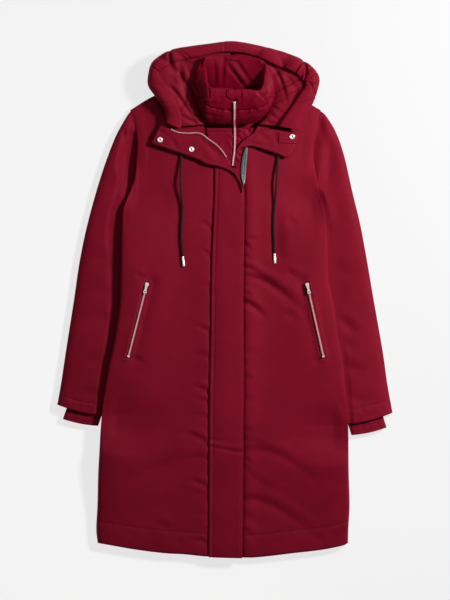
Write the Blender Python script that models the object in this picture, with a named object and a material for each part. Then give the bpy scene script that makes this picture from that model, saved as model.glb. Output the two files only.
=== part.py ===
"""Padded hooded coat, laid flat with its front up.

The coat's length runs along Y with the hood at +Y, its width along X, and Z
goes up from the surface that it lies on.  "Right" and "left" in the names
are the wearer's, so the right side is at -X.  Tables are in millimetres.
"""
import math
from collections import namedtuple

import bmesh
import bpy
import numpy as np

MM = 0.001

# ---------------------------------------------------------------- main sizes
SEAM_GAP = 0.3              # between two pieces at a seam
LAY_GAP = 0.6               # between two layers lying on each other
BACK_THICK = 9.0            # padded back, in its middle
SIDE_THICK = 6.5            # padded back at the side seams
FRONT_SIDE_RISE = 6.0       # thickness of a front at the side seam
FRONT_MID_RISE = 14.5       # thickness of a front in its middle
FRONT_LEAST = 4.0           # and the least anywhere
EDGE_ROUND = 8.0            # radius of a padded edge
HEM_FALL = 3.0              # how much thinner the coat is at its hem
HEM_FALL_WIDTH = 24.0
SHOULDER_FALL = 7.0         # and at the shoulder fold
SHOULDER_FALL_WIDTH = 26.0
CENTRE_X = 6.0              # where the two fronts meet, under the placket
PLACKET_THICK = 5.0
PLACKET_SEAM_THICK = 3.2
BIB_THICK = 5.0
LAPEL_LIFT = 6.6            # lapels lie over the cords and the bib
LAPEL_THICK = 6.0
SLEEVE_THICK = 21.0         # two padded layers
SLEEVE_LIFT = 21.0          # the body's side lies this much higher over a sleeve
SLEEVE_SLIT = 0.9           # half of the space between a sleeve's two layers
LIFT_RUN = 62.0             # width over which the body climbs onto the sleeve
LIFT_START = 36.0           # how far inside the sleeve's edge that begins
LIFT_TOP_Y = 318.0          # the climb fades out above the underarm
LIFT_FULL_Y = 200.0
LIFT_END_BELOW = 90.0       # and below the sleeve's end, over LIFT_END_RUN
LIFT_END_RUN = 70.0
SLEEVE_CLEAR = 2.4          # room over a tucked sleeve, for the facets
CUFF_SLIT = 5.4             # half of the room for the inner cuff in a sleeve end
STORM_THICK = 9.0
STORM_INSIDE = 12.0
STORM_CENTRE = 10.3         # height of the inner cuff's middle
COLLAR_WALL = 6.5
COLLAR_BELLY_POWER = 0.85
QUILT_RISE = 2.4            # puff of the inner collar's two quilted channels
LINING_THICK = 5.0
CORD_DIAMETER = 4.8
AGLET_LENGTH = 21.0
AGLET_DIAMETER = 6.0
SNAP_DIAMETER = 11.6
CHAIN_WIDTH = 5.6
CHAIN_THICK = 1.8
INNER_CHAIN_WIDTH = 5.2

# -------------------------------------------------------------------- tables
Level = namedtuple("Level", "y right_edge left_edge")
BODY = (                                    # the body's side edges, hem to shoulder
    Level(-510, -268, 259),
    Level(-483, -271, 259.5),
    Level(-433, -268.5, 262),
    Level(-363, -266.5, 260),
    Level(-313, -263.5, 259),
    Level(-250, -259, 257.5),
    Level(-185, -252, 252.5),
    Level(-132, -242.5, 247.5),
    Level(-84, -232, 238.5),
    Level(-10, -221, 228.5),
    Level(42, -219, 218),
    Level(105, -218, 216),
    Level(153, -216.5, 212.5),
    Level(189, -213.5, 205),
    Level(210, -206, 200.5),
    Level(232, -197.5, 196.5),
    Level(256, -191, 193.5),
    Level(300, -187, 188),
    Level(336, -186.5, 190.5),
    Level(376, -194, 200),
    Level(399, -199.5, 201.5),
)

HemPoint = namedtuple("HemPoint", "x y")
HEM = (
    HemPoint(-268, -511),
    HemPoint(-233, -517),
    HemPoint(-193, -524),
    HemPoint(-131, -532),
    HemPoint(-82, -535),
    HemPoint(-42, -539),
    HemPoint(31, -541.5),
    HemPoint(67, -541),
    HemPoint(146, -532),
    HemPoint(205, -525),
    HemPoint(249, -516),
    HemPoint(259, -511),
)

TopPoint = namedtuple("TopPoint", "x back_y front_y")
TOP_LINE = (                                # shoulders, back neck and front neck
    TopPoint(-200, 399, 399),
    TopPoint(-172, 417, 417),
    TopPoint(-150, 429, 429),
    TopPoint(-118, 440, 438),
    TopPoint(-88, 444, 430),
    TopPoint(-60, 441, 392),
    TopPoint(-30, 436, 338),
    TopPoint(6, 434, 292),
    TopPoint(40, 435, 322),
    TopPoint(75, 439, 376),
    TopPoint(105, 443, 424),
    TopPoint(135, 436, 433),
    TopPoint(165, 420, 420),
    TopPoint(202, 399, 399),
)

SleeveRow = namedtuple("SleeveRow", "outer_x outer_y inner_x inner_y")
SLEEVE_RIGHT = (                            # distances from the coat's middle line
    SleeveRow(200.2, 399, 198, 232),
    SleeveRow(209, 384, 198.5, 223),
    SleeveRow(231, 342.5, 192, 205),
    SleeveRow(253.5, 283.5, 182, 178),
    SleeveRow(273, 221.5, 172, 140),
    SleeveRow(293, 145.5, 166, 92),
    SleeveRow(307, 75.5, 166, 38),
    SleeveRow(318, 0, 173, -28),
    SleeveRow(334.5, -105, 190, -130),
    SleeveRow(345, -175, 212, -197),
    SleeveRow(353, -220, 235, -242),
)
SLEEVE_LEFT = (
    SleeveRow(202.2, 399, 197, 232),
    SleeveRow(213, 388, 200, 223),
    SleeveRow(233.5, 353, 196, 205),
    SleeveRow(251, 303, 186, 178),
    SleeveRow(268.5, 226, 175, 140),
    SleeveRow(284.5, 160, 168, 94),
    SleeveRow(299, 82, 166, 38),
    SleeveRow(313, 0, 172, -30),
    SleeveRow(331.5, -105, 189, -135),
    SleeveRow(341.5, -175, 208, -202),
    SleeveRow(352.5, -237, 235, -262),
)

PlacketRow = namedtuple("PlacketRow", "y seam_x free_x")
PLACKET = (
    PlacketRow(-541, -34.5, 35.7),
    PlacketRow(-490, -34.0, 36.0),
    PlacketRow(-210, -32.6, 38.4),
    PlacketRow(-60, -29.8, 38.4),
    PlacketRow(50, -28.4, 38.4),
    PlacketRow(150, -25.0, 39.5),
    PlacketRow(210, -22.5, 40.5),
    PlacketRow(285, -21.0, 37.0),
)
PLACKET_END = (                             # its top edge, under the right lapel
    HemPoint(-22, 289),
    HemPoint(4, 281),
    HemPoint(18, 271),
    HemPoint(29, 257),
    HemPoint(38, 234),
)

Fold = namedtuple("Fold", "x0 y0 x1 y1 half_width depth")
FOLDS = (                                   # soft troughs in the fronts
    Fold(44, 50, 88, 38, 11, 5.5),
    Fold(88, 38, 120, 17, 12, 6.0),
    Fold(120, 17, 162, -25, 13, 4.5),
    Fold(40, 4, 56, -13, 9, 4.0),
    Fold(56, -13, 88, -47, 11, 3.5),
    Fold(42, 74, 67, 57, 9, 3.5),
    Fold(45, 130, 71, 127, 8, 2.5),
    Fold(40, -283, 65, -288, 9, 4.0),
    Fold(38, -313, 78, -331, 11, 4.5),
    Fold(78, -331, 136, -346, 11, 4.0),
    Fold(136, -346, 189, -382, 12, 4.0),
    Fold(40, -424, 69, -422, 10, 4.5),
    Fold(69, -422, 98, -443, 11, 5.0),
    Fold(98, -443, 175, -484, 13, 5.0),
    Fold(175, -484, 201, -500, 12, 3.0),
    Fold(40, -485, 63, -506, 9, 3.0),
    Fold(174, -454, 224, -428, 13, 2.5),
    Fold(133, 170, 152, 160, 13, 3.0),
    Fold(-48, 160, -28, 152, 8, 2.5),
    Fold(-43, 103, -28, 95, 8, 3.0),
    Fold(-51, -60, -35, -71, 8, 3.5),
    Fold(-62, -189, -35, -194, 8, 3.5),
    Fold(-62, -289, -44, -303, 8, 3.5),
    Fold(-46, -336, -117, -344, 12, 4.0),
    Fold(-117, -344, -233, -401, 13, 3.5),
    Fold(-77, -379, -42, -391, 9, 3.0),
    Fold(-83, -403, -48, -401, 9, 2.5),
    Fold(-153, -470, -117, -476, 9, 3.0),
    Fold(-70, -506, -42, -510, 8, 3.0),
    Fold(-191, -126, -170, -137, 9, 3.0),
    Fold(-180, 56, -170, 46, 8, 2.0),
    Fold(-197, 221, -186, 233, 8, 2.0),
)

HoodRow = namedtuple("HoodRow", "outer_x outer_y inner_x inner_y foot crest")
HOOD = (                                    # clockwise from the right lapel's seam
    HoodRow(-124, 370, -92, 358, 37.6, 47),
    HoodRow(-124, 392, -90, 380, 33, 49),
    HoodRow(-133, 408, -96, 399, 29, 51),
    HoodRow(-149, 430, -104, 419, 23, 52),
    HoodRow(-161, 449, -119, 444, 22, 53),
    HoodRow(-161, 472, -137, 470, 22, 54),
    HoodRow(-151, 500, -125, 486, 22, 55),
    HoodRow(-115, 523, -93, 500, 22, 56),
    HoodRow(-75, 531, -52, 508, 22, 57),
    HoodRow(-30, 537, -20, 515, 22, 58),
    HoodRow(15, 542, 12, 517, 22, 58),
    HoodRow(63, 534.5, 54, 512, 22, 58),
    HoodRow(111, 523, 98, 493, 22, 59),
    HoodRow(148, 510, 131, 480, 22, 60),
    HoodRow(174, 496, 151, 470, 22, 60),
    HoodRow(193, 476, 163, 457, 22, 60),
    HoodRow(198, 459, 168, 448, 22, 60),
    HoodRow(194, 440, 158, 432, 24, 58),
    HoodRow(187, 418, 147, 415, 28, 56),
    HoodRow(176, 396, 136, 399, 32, 54),
    HoodRow(163, 373, 122, 380, 36, 52),
    HoodRow(156, 355, 112, 363, 38.4, 50),
)
SHELL_FIRST_ROW = 4.0                       # the outer hood lies on the ground from
SHELL_LAST_ROW = 17.0                       # this row of the table to this one
CENTRE_FIRST_ROW = 8.3                      # its centre panel between these two
CENTRE_LAST_ROW = 12.0

NECK_MIDDLE = (12.0, 405.0)
CollarRow = namedtuple("CollarRow", "base_x base_y base_z top_x top_y top_z belly")
COLLAR = (                                  # right front edge, round the back, left
    CollarRow(17.2, 368, 37, 17.5, 439, 78, 3),
    CollarRow(-12, 368, 37, -9, 441, 79, 3),
    CollarRow(-36, 371, 36, -31, 442, 79, 5),
    CollarRow(-51, 383, 34, -39, 454, 77, 14),
    CollarRow(-58, 400, 30, -41, 473, 73, 24),
    CollarRow(-60, 415, 24, -43, 491, 67, 22),
    CollarRow(-50, 427, 18, -42, 506, 60, 10),
    CollarRow(-25, 431, 15.5, -18, 510, 55, 2),
    CollarRow(12, 431, 15, 14, 511, 54, 0),
    CollarRow(45, 430, 15.5, 47, 508, 56, 2),
    CollarRow(72, 427, 19, 76, 501, 61, 8),
    CollarRow(84, 415, 25, 83, 487, 68, 17),
    CollarRow(84, 400, 30, 80, 466, 74, 19),
    CollarRow(77, 383, 34, 78, 447, 77, 14),
    CollarRow(64, 371, 36, 70, 436, 79, 5),
    CollarRow(44, 368, 37, 48, 438, 79, 3),
    CollarRow(22.8, 368, 37, 23.5, 439, 78, 3),
)

StripRow = namedtuple("StripRow", "low_x low_y high_x high_y")
LAPEL_RIGHT = (                             # from the shoulder corner to the tip
    StripRow(-155.5, 328, -128.5, 382),
    StripRow(-131, 319.5, -115, 362),
    StripRow(-107, 311.5, -97, 353),
    StripRow(-81, 302.5, -77, 351.5),
    StripRow(-55, 293, -53, 352),
    StripRow(-38, 284, -33, 338.5),
    StripRow(-16, 279.5, -14.5, 324),
    StripRow(4, 273, 1, 303),
    StripRow(20, 264, 10, 284),
    StripRow(31.5, 248.5, 24, 262),
    StripRow(38, 225, 36.5, 240),
)
LAPEL_LEFT = (
    StripRow(23, 311, 26, 319),
    StripRow(34, 318, 38, 333),
    StripRow(47, 321.5, 54, 346),
    StripRow(60, 321.5, 69, 354.5),
    StripRow(85, 314, 90, 357.5),
    StripRow(112, 304.5, 115, 356.5),
    StripRow(131, 299, 137, 353),
    StripRow(147, 320, 154, 350.5),
)

BibRow = namedtuple("BibRow", "y right_x zip_x left_x")
BIB = (
    BibRow(279, 12, 16, 26),
    BibRow(291, 4, 17, 31),
    BibRow(312, -24, 20, 36.5),
    BibRow(340, -36, 21, 52),
    BibRow(361, -40, 20.5, 61),
)

CordPoint = namedtuple("CordPoint", "x y over")
CORD_RIGHT = (
    CordPoint(-91, 312, 0.6),
    CordPoint(-91.6, 301, 0.8),
    CordPoint(-92.8, 270, 1.5),
    CordPoint(-92.6, 239.5, 2.5),
    CordPoint(-89.5, 205, 2.0),
    CordPoint(-89.3, 183, 1.5),
    CordPoint(-91.6, 137, 1.2),
    CordPoint(-90.5, 112, 0.9),
    CordPoint(-88.3, 91.5, 1.3),
)
CORD_LEFT = (
    CordPoint(112, 310, 0.6),
    CordPoint(111, 296.5, 0.8),
    CordPoint(109.5, 268, 1.5),
    CordPoint(107.7, 239.5, 2.5),
    CordPoint(104.4, 194, 2.0),
    CordPoint(102, 160, 1.4),
    CordPoint(102.6, 128, 1.0),
    CordPoint(104, 98, 1.3),
)

MATERIALS = {
    "shell_cloth": ((0.19, 0.006, 0.018), 0.62, 0.0),
    "lining_cloth": ((0.17, 0.006, 0.018), 0.55, 0.0),
    "nylon_cloth": ((0.17, 0.005, 0.015), 0.38, 0.0),
    "cord_dark": ((0.03, 0.02, 0.02), 0.7, 0.0),
    "guard_grey": ((0.06, 0.085, 0.085), 0.35, 0.0),
    "nickel": ((0.68, 0.62, 0.57), 0.28, 1.0),
}


# --------------------------------------------------------------- small tools
def step_smooth(value):
    """Smooth step from 0 to 1 over 0..1."""
    value = min(max(value, 0.0), 1.0)
    return value * value * (3.0 - 2.0 * value)


def blend(a, b, share):
    return a + (b - a) * share


def smooth_value(at, knots, values):
    """Smooth curve through values at rising knots, flat beyond both ends."""
    if at <= knots[0]:
        return values[0]
    if at >= knots[-1]:
        return values[-1]
    k = int(np.searchsorted(knots, at)) - 1
    k = min(max(k, 0), len(knots) - 2)
    span = knots[k + 1] - knots[k]
    share = (at - knots[k]) / span
    slopes = []
    for j in (k, k + 1):
        before = max(j - 1, 0)
        after = min(j + 1, len(knots) - 1)
        slopes.append((values[after] - values[before]) / (knots[after] - knots[before]))
    h00 = (1 + 2 * share) * (1 - share) ** 2
    h10 = share * (1 - share) ** 2
    h01 = share ** 2 * (3 - 2 * share)
    h11 = share ** 2 * (share - 1)
    return (h00 * values[k] + h10 * span * slopes[0]
            + h01 * values[k + 1] + h11 * span * slopes[1])


def row_at(rows, position):
    """A table's row at a real position, smooth between its rows."""
    knots = list(range(len(rows)))
    values = [smooth_value(position, knots, [row[c] for row in rows])
              for c in range(len(rows[0]))]
    return type(rows[0])(*values)


def column(rows, name):
    return [getattr(row, name) for row in rows]


def make_material(name):
    colour, rough, metal = MATERIALS[name]
    material = bpy.data.materials.new(name)
    material.use_nodes = True
    shader = material.node_tree.nodes["Principled BSDF"]
    shader.inputs["Base Color"].default_value = (*colour, 1.0)
    shader.inputs["Roughness"].default_value = rough
    shader.inputs["Metallic"].default_value = metal
    return material


def add_body(name, points, faces, material, origin=(0.0, 0.0, 0.0)):
    """One closed body from points in millimetres; its origin may be moved."""
    mesh = bpy.data.meshes.new(name)
    shifted = [tuple((p[i] - origin[i]) * MM for i in range(3)) for p in points]
    mesh.from_pydata(shifted, [], faces)
    mesh.materials.append(MATERIAL_OBJECTS[material])
    work = bmesh.new()
    work.from_mesh(mesh)
    bmesh.ops.recalc_face_normals(work, faces=work.faces)
    if work.calc_volume(signed=True) < 0:
        bmesh.ops.reverse_faces(work, faces=work.faces)
    for face in work.faces:
        face.smooth = True
    work.to_mesh(mesh)
    work.free()
    body = bpy.data.objects.new(name, mesh)
    body.location = tuple(value * MM for value in origin)
    bpy.context.scene.collection.objects.link(body)
    return body


def closed_sheet(top, under, rim):
    """Points and faces of a closed sheet from two equal grids and a rim.

    top and under are grids [across][along]; rim(i, j) gives the edge point
    that belongs to a border node.
    """
    across = len(top)
    along = len(top[0])
    points = []
    top_at = {}
    under_at = {}
    for i in range(across):
        for j in range(along):
            top_at[i, j] = len(points)
            points.append(top[i][j])
    for i in range(across):
        for j in range(along):
            under_at[i, j] = len(points)
            points.append(under[i][j])
    border = [(i, 0) for i in range(across)]
    border += [(across - 1, j) for j in range(1, along)]
    border += [(i, along - 1) for i in range(across - 2, -1, -1)]
    border += [(0, j) for j in range(along - 2, 0, -1)]
    rim_at = {}
    for node in border:
        rim_at[node] = len(points)
        points.append(rim(*node))
    faces = []
    for i in range(across - 1):
        for j in range(along - 1):
            faces.append((top_at[i, j], top_at[i + 1, j],
                          top_at[i + 1, j + 1], top_at[i, j + 1]))
            faces.append((under_at[i, j], under_at[i, j + 1],
                          under_at[i + 1, j + 1], under_at[i + 1, j]))
    for k, node in enumerate(border):
        after = border[(k + 1) % len(border)]
        faces.append((top_at[node], rim_at[node], rim_at[after], top_at[after]))
        faces.append((rim_at[node], under_at[node], under_at[after], rim_at[after]))
    return points, faces


def stations(count, length, radius):
    """Positions 0..1 along a length, with two close to each end."""
    first = 0.22 * radius / length
    second = 1.1 * radius / length
    inner = np.linspace(second, 1.0 - second, count)
    return [first, *inner, 1.0 - first]


def flat_sheet(name, material, place, top, under, counts, size,
               radius=EDGE_ROUND, under_radius=3.0):
    """A sheet lying on another: place(u, v) in plan, top and under heights.

    counts holds the number of columns and rows, or the columns themselves.
    """
    if isinstance(counts[0], int):
        across = stations(counts[0], size[0], radius)
    else:
        across = counts[0]
    along = stations(counts[1], size[1], radius)

    def edge_share(u, v, reach):
        near = min(u * size[0], (1 - u) * size[0], v * size[1], (1 - v) * size[1])
        near = min(max(near / reach, 0.0), 1.0)
        return math.sqrt(1.0 - (1.0 - near) ** 2)

    def point(u, v, is_top):
        x, y = place(u, v)
        high = top(x, y)
        low = under(x, y)
        middle = 0.5 * (high + low)
        if is_top:
            return (x, y, middle + (high - middle) * edge_share(u, v, radius))
        return (x, y, middle + (low - middle) * edge_share(u, v, under_radius))

    def rim(i, j):
        u = 0.0 if i == 0 else 1.0 if i == len(across) - 1 else across[i]
        v = 0.0 if j == 0 else 1.0 if j == len(along) - 1 else along[j]
        x, y = place(u, v)
        return (x, y, 0.5 * (top(x, y) + under(x, y)))

    top_grid = [[point(u, v, True) for v in along] for u in across]
    under_grid = [[point(u, v, False) for v in along] for u in across]
    points, faces = closed_sheet(top_grid, under_grid, rim)
    return add_body(name, points, faces, material)


def swept_ring(name, material, rings, capped=True):
    """Closed rings joined one after another; both ends capped."""
    count = len(rings[0])
    points = [p for ring in rings for p in ring]
    faces = []
    for k in range(len(rings) - 1):
        for i in range(count):
            j = (i + 1) % count
            faces.append((k * count + i, k * count + j,
                          (k + 1) * count + j, (k + 1) * count + i))
    if capped:
        for k in (0, len(rings) - 1):
            middle = np.mean(np.array(rings[k]), axis=0)
            hub = len(points)
            points.append(tuple(middle))
            for i in range(count):
                faces.append((k * count + i, k * count + (i + 1) % count, hub))
    return add_body(name, points, faces, material)


def open_tube(name, material, outer, inner):
    """A tube open at both ends, from equal lists of outer and inner rings."""
    count = len(outer[0])
    points = [p for ring in outer for p in ring] + [p for ring in inner for p in ring]
    offset = len(outer) * count
    faces = []
    for k in range(len(outer) - 1):
        for i in range(count):
            j = (i + 1) % count
            faces.append((k * count + i, k * count + j,
                          (k + 1) * count + j, (k + 1) * count + i))
            faces.append((offset + k * count + i, offset + (k + 1) * count + i,
                          offset + (k + 1) * count + j, offset + k * count + j))
    for k in (0, len(outer) - 1):
        for i in range(count):
            j = (i + 1) % count
            faces.append((k * count + i, k * count + j,
                          offset + k * count + j, offset + k * count + i))
    return add_body(name, points, faces, material)


# ------------------------------------------------------------ body's heights
BODY_Y = column(BODY, "y")
BODY_RIGHT = column(BODY, "right_edge")
BODY_LEFT = column(BODY, "left_edge")


def body_edges(y):
    return smooth_value(y, BODY_Y, BODY_RIGHT), smooth_value(y, BODY_Y, BODY_LEFT)


def sleeve_rows(side):
    return SLEEVE_RIGHT if side < 0 else SLEEVE_LEFT


INNER_LINES = {}
for which in (-1, 1):
    table = sorted(sleeve_rows(which), key=lambda row: row.inner_y)
    INNER_LINES[which] = (column(table, "inner_y"), column(table, "inner_x"))


def body_lift(x, y):
    """Height of the body's underside: it climbs onto the tucked sleeves."""
    side = -1 if x < 0 else 1
    ys, xs = INNER_LINES[side]
    inside = smooth_value(y, ys, xs)
    climb = step_smooth((abs(x) - inside + LIFT_START) / LIFT_RUN)
    fade = step_smooth((LIFT_TOP_Y - y) / (LIFT_TOP_Y - LIFT_FULL_Y))
    below = step_smooth((y - ys[0] + LIFT_END_BELOW) / LIFT_END_RUN)
    return SLEEVE_LIFT * climb * fade * below


def across_share(x, y):
    right, left = body_edges(y)
    middle = 0.5 * (right + left)
    return min(abs((x - middle) / (0.5 * (left - right))), 1.0)


def hem_y(x):
    return smooth_value(x, column(HEM, "x"), column(HEM, "y"))


def top_y(x, name):
    return smooth_value(x, column(TOP_LINE, "x"), column(TOP_LINE, name))


def back_top(x, y):
    share = across_share(x, y)
    return body_lift(x, y) + blend(BACK_THICK, SIDE_THICK, share ** 6)


def front_level(x, y):
    """Top of the fronts without their folds."""
    share = across_share(x, y)
    rise = blend(FRONT_MID_RISE, FRONT_SIDE_RISE, share ** 4)
    rise -= HEM_FALL * math.exp(-max(y - hem_y(x), 0.0) / HEM_FALL_WIDTH)
    shoulder = max(top_y(x, "back_y") - y, 0.0)
    rise -= SHOULDER_FALL * math.exp(-shoulder / SHOULDER_FALL_WIDTH)
    return back_top(x, y) + LAY_GAP + max(rise, FRONT_LEAST)


def trough_depth(folds, x, y):
    """Depth of a table's soft troughs at a point."""
    depth = 0.0
    for fold in folds:
        run = (fold.x1 - fold.x0, fold.y1 - fold.y0)
        length = math.hypot(*run)
        along = ((x - fold.x0) * run[0] + (y - fold.y0) * run[1]) / length ** 2
        nearest = min(max(along, 0.0), 1.0)
        away = math.hypot(x - fold.x0 - nearest * run[0], y - fold.y0 - nearest * run[1])
        depth = max(depth, fold.depth * math.exp(-(away / fold.half_width) ** 2))
    return depth


def fold_depth(x, y):
    return trough_depth(FOLDS, x, y)


def front_top(x, y):
    return front_level(x, y) - fold_depth(x, y)


def front_under(x, y):
    return back_top(x, y) + LAY_GAP


FRONT_WIDTH = 230.0
FRONT_COLUMNS = 13
BACK_SIDE_COLUMNS = 8
BODY_ROWS = 34
LOW_LEVEL = BODY[0].y
HIGH_LEVEL = BODY[-1].y
HEM_REACH = 150.0
NECK_REACH = 290.0


def body_place(u, v, edge_names, top_name):
    """Plan point of a body panel; the hem and the neck line bend its rows."""
    level = blend(LOW_LEVEL, HIGH_LEVEL, v)
    ends = []
    for edge in edge_names:
        if edge == "right":
            ends.append(body_edges(level)[0])
        elif edge == "left":
            ends.append(body_edges(level)[1])
        else:
            ends.append(edge)
    x = blend(ends[0], ends[1], u)
    low = max(1.0 - (level - LOW_LEVEL) / HEM_REACH, 0.0) ** 2
    high = max((level - HIGH_LEVEL + NECK_REACH) / NECK_REACH, 0.0) ** 2
    y = level + (hem_y(x) - LOW_LEVEL) * low + (top_y(x, top_name) - HIGH_LEVEL) * high
    return x, y


def front_r_place(u, v, top_name="front_y"):
    return body_place(u, v, ("right", CENTRE_X - SEAM_GAP), top_name)


def front_l_place(u, v, top_name="front_y"):
    return body_place(u, v, (CENTRE_X + SEAM_GAP, "left"), top_name)


def back_place(u, v):
    """The back's columns are those of the fronts, so that they lie flush."""
    if u < 0.5:
        return front_r_place(2.0 * u, v, "back_y")
    return front_l_place(2.0 * u - 1.0, v, "back_y")


def build_body():
    length = HIGH_LEVEL - LOW_LEVEL
    columns = stations(FRONT_COLUMNS, FRONT_WIDTH, EDGE_ROUND)
    near = columns[:BACK_SIDE_COLUMNS] + [columns[BACK_SIDE_COLUMNS + 2]]
    back_columns = [0.5 * u for u in near] + [0.5] + [1.0 - 0.5 * u for u in near[::-1]]
    flat_sheet("back_panel", "shell_cloth", back_place, back_top, body_lift,
               (back_columns, BODY_ROWS), (2.0 * FRONT_WIDTH, length))
    flat_sheet("front_r", "shell_cloth", front_r_place, front_top, front_under,
               (FRONT_COLUMNS, BODY_ROWS), (FRONT_WIDTH, length))
    flat_sheet("front_l", "shell_cloth", front_l_place, front_top, front_under,
               (FRONT_COLUMNS, BODY_ROWS), (FRONT_WIDTH, length))


# ------------------------------------------------------------------- placket
PLACKET_Y = column(PLACKET, "y")
PLACKET_WIDTH = 70.0
PLACKET_GRID = (3, 28)


def placket_place(u, v):
    seam_x = smooth_value(blend(PLACKET_Y[0], PLACKET_Y[-1], v), PLACKET_Y,
                          column(PLACKET, "seam_x"))
    free_x = smooth_value(blend(PLACKET_Y[0], PLACKET_Y[-1], v), PLACKET_Y,
                          column(PLACKET, "free_x"))
    x = blend(seam_x, free_x, u)
    end = smooth_value(x, column(PLACKET_END, "x"), column(PLACKET_END, "y"))
    return x, blend(hem_y(x) - 0.5, end, v)


def placket_under(x, y):
    return front_level(x, y) + LAY_GAP


PLACKET_SEAM_X = -34.0
PLACKET_CREASES = ((-300.0, 9.0, 1.2), (-318.0, 7.0, 1.0))     # y, width, depth


def placket_top(x, y):
    share = step_smooth((x - PLACKET_SEAM_X) / -PLACKET_SEAM_X)
    crease = sum(deep * math.exp(-((y - at) / wide) ** 2)
                 for at, wide, deep in PLACKET_CREASES)
    thick = blend(PLACKET_SEAM_THICK, PLACKET_THICK, share)
    return placket_under(x, y) + thick - crease


def build_placket():
    flat_sheet("placket", "shell_cloth", placket_place, placket_top, placket_under,
               PLACKET_GRID, (PLACKET_WIDTH, PLACKET_Y[-1] - PLACKET_Y[0]), 3.0, 1.0)


# ------------------------------------------------------------------- sleeves
SLEEVE_RINGS = 17
SLEEVE_TOP_THICK = 15.0     # at the armhole
SLEEVE_LOW_SHARE = 0.42     # height of its fold lines, as a share of its thickness
ARMHOLE_FADE = 0.22         # share of its length over which it leaves the body's edge
CUFF_BOW = 6.0              # how far the cuff's end bows out
TUCK_TOP_Y = 275.0          # below this it is tucked under the body's edge
TUCK_MARGIN = 7.0
TOP_SHARES = (0.0, 0.02, 0.07, 0.16, 0.30, 0.46, 0.62, 0.77, 0.88, 0.95, 0.99)
UNDER_SHARES = (1.0, 0.97, 0.88, 0.72, 0.5, 0.28, 0.12, 0.03)
SLEEVE_TROUGHS = (
    Fold(-213, 330, -228, 275, 12, 2.5),
    Fold(226, 336, 240, 252, 13, 3.0),
    Fold(250, -50, 281, -76, 12, 2.5),
    Fold(-300, -130, -270, -150, 12, 2.0),
    Fold(258, -145, 285, -150, 12, 2.0),
    Fold(-285, 60, -262, 40, 12, 2.0),
)


def sleeve_plan(side, along, share):
    """Plan point of a sleeve: along 0 armhole to 1 cuff, share 0 inner to 1 outer."""
    rows = sleeve_rows(side)
    row = row_at(rows, along * (len(rows) - 1))
    x = side * blend(row.inner_x, row.outer_x, share)
    y = blend(row.inner_y, row.outer_y, share)
    first = rows[0]
    seam_y = blend(first.inner_y, first.outer_y, share)
    edge = body_edges(seam_y)[0 if side < 0 else 1] + side * 2 * SEAM_GAP
    straight = side * blend(first.inner_x, first.outer_x, share)
    fade = max(1.0 - along / ARMHOLE_FADE, 0.0) ** 1.5
    x += (edge - straight) * fade
    y -= CUFF_BOW * math.sin(math.pi * share) * step_smooth((along - 0.8) / 0.2)
    return x, y


def sleeve_heights(side, along, share, x, y):
    """Top and underside heights of a sleeve at a plan point."""
    thick = blend(SLEEVE_TOP_THICK, SLEEVE_THICK, step_smooth(along / 0.14))
    thick = blend(thick, SLEEVE_THICK + 1.0, step_smooth((along - 0.9) / 0.1))
    away = abs(2.0 * share - 1.0)
    middle = SLEEVE_LOW_SHARE * thick
    high = middle + (thick - middle) * math.sqrt(max(1.0 - away ** 5, 0.0))
    low = middle * away ** 16
    high -= trough_depth(SLEEVE_TROUGHS, x, y)
    edge = body_edges(min(y, HIGH_LEVEL))[0 if side < 0 else 1]
    margin = TUCK_MARGIN * step_smooth((TUCK_TOP_Y - 13.0 - y) / 30.0)
    if y < TUCK_TOP_Y and abs(x) < abs(edge) + margin:
        high = min(high, body_lift(x, y) - SLEEVE_CLEAR)
    return max(high, low + 0.5), low


def build_sleeve(side, name):
    outer = []
    inner = []
    spots = [(k / (SLEEVE_RINGS - 1)) for k in range(SLEEVE_RINGS)]
    for along in spots:
        ring = []
        hollow = []
        room = blend(SLEEVE_SLIT, CUFF_SLIT, step_smooth((along - 0.84) / 0.08))
        for is_top, shares in ((True, TOP_SHARES), (False, UNDER_SHARES)):
            for share in shares:
                x, y = sleeve_plan(side, along, share)
                high, low = sleeve_heights(side, along, share, x, y)
                if share in (0.0, 1.0):
                    ring.append((x, y, 0.5 * (high + low)))
                else:
                    ring.append((x, y, high if is_top else low))
                inset = blend(0.09, 0.91, share)
                x_in, y_in = sleeve_plan(side, along, inset)
                high, low = sleeve_heights(side, along, inset, x_in, y_in)
                reach = room * math.sqrt(max(1.0 - abs(2.0 * share - 1.0) ** 4, 0.0))
                centre = 0.5 * (high + low)
                hollow.append((x_in, y_in, centre + (reach if is_top else -reach)))
        outer.append(ring)
        inner.append(hollow)
    open_tube(name, "shell_cloth", outer, inner)


STORM_SHARES = (0.2, 0.83)
STORM_OUT = 25.0


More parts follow.
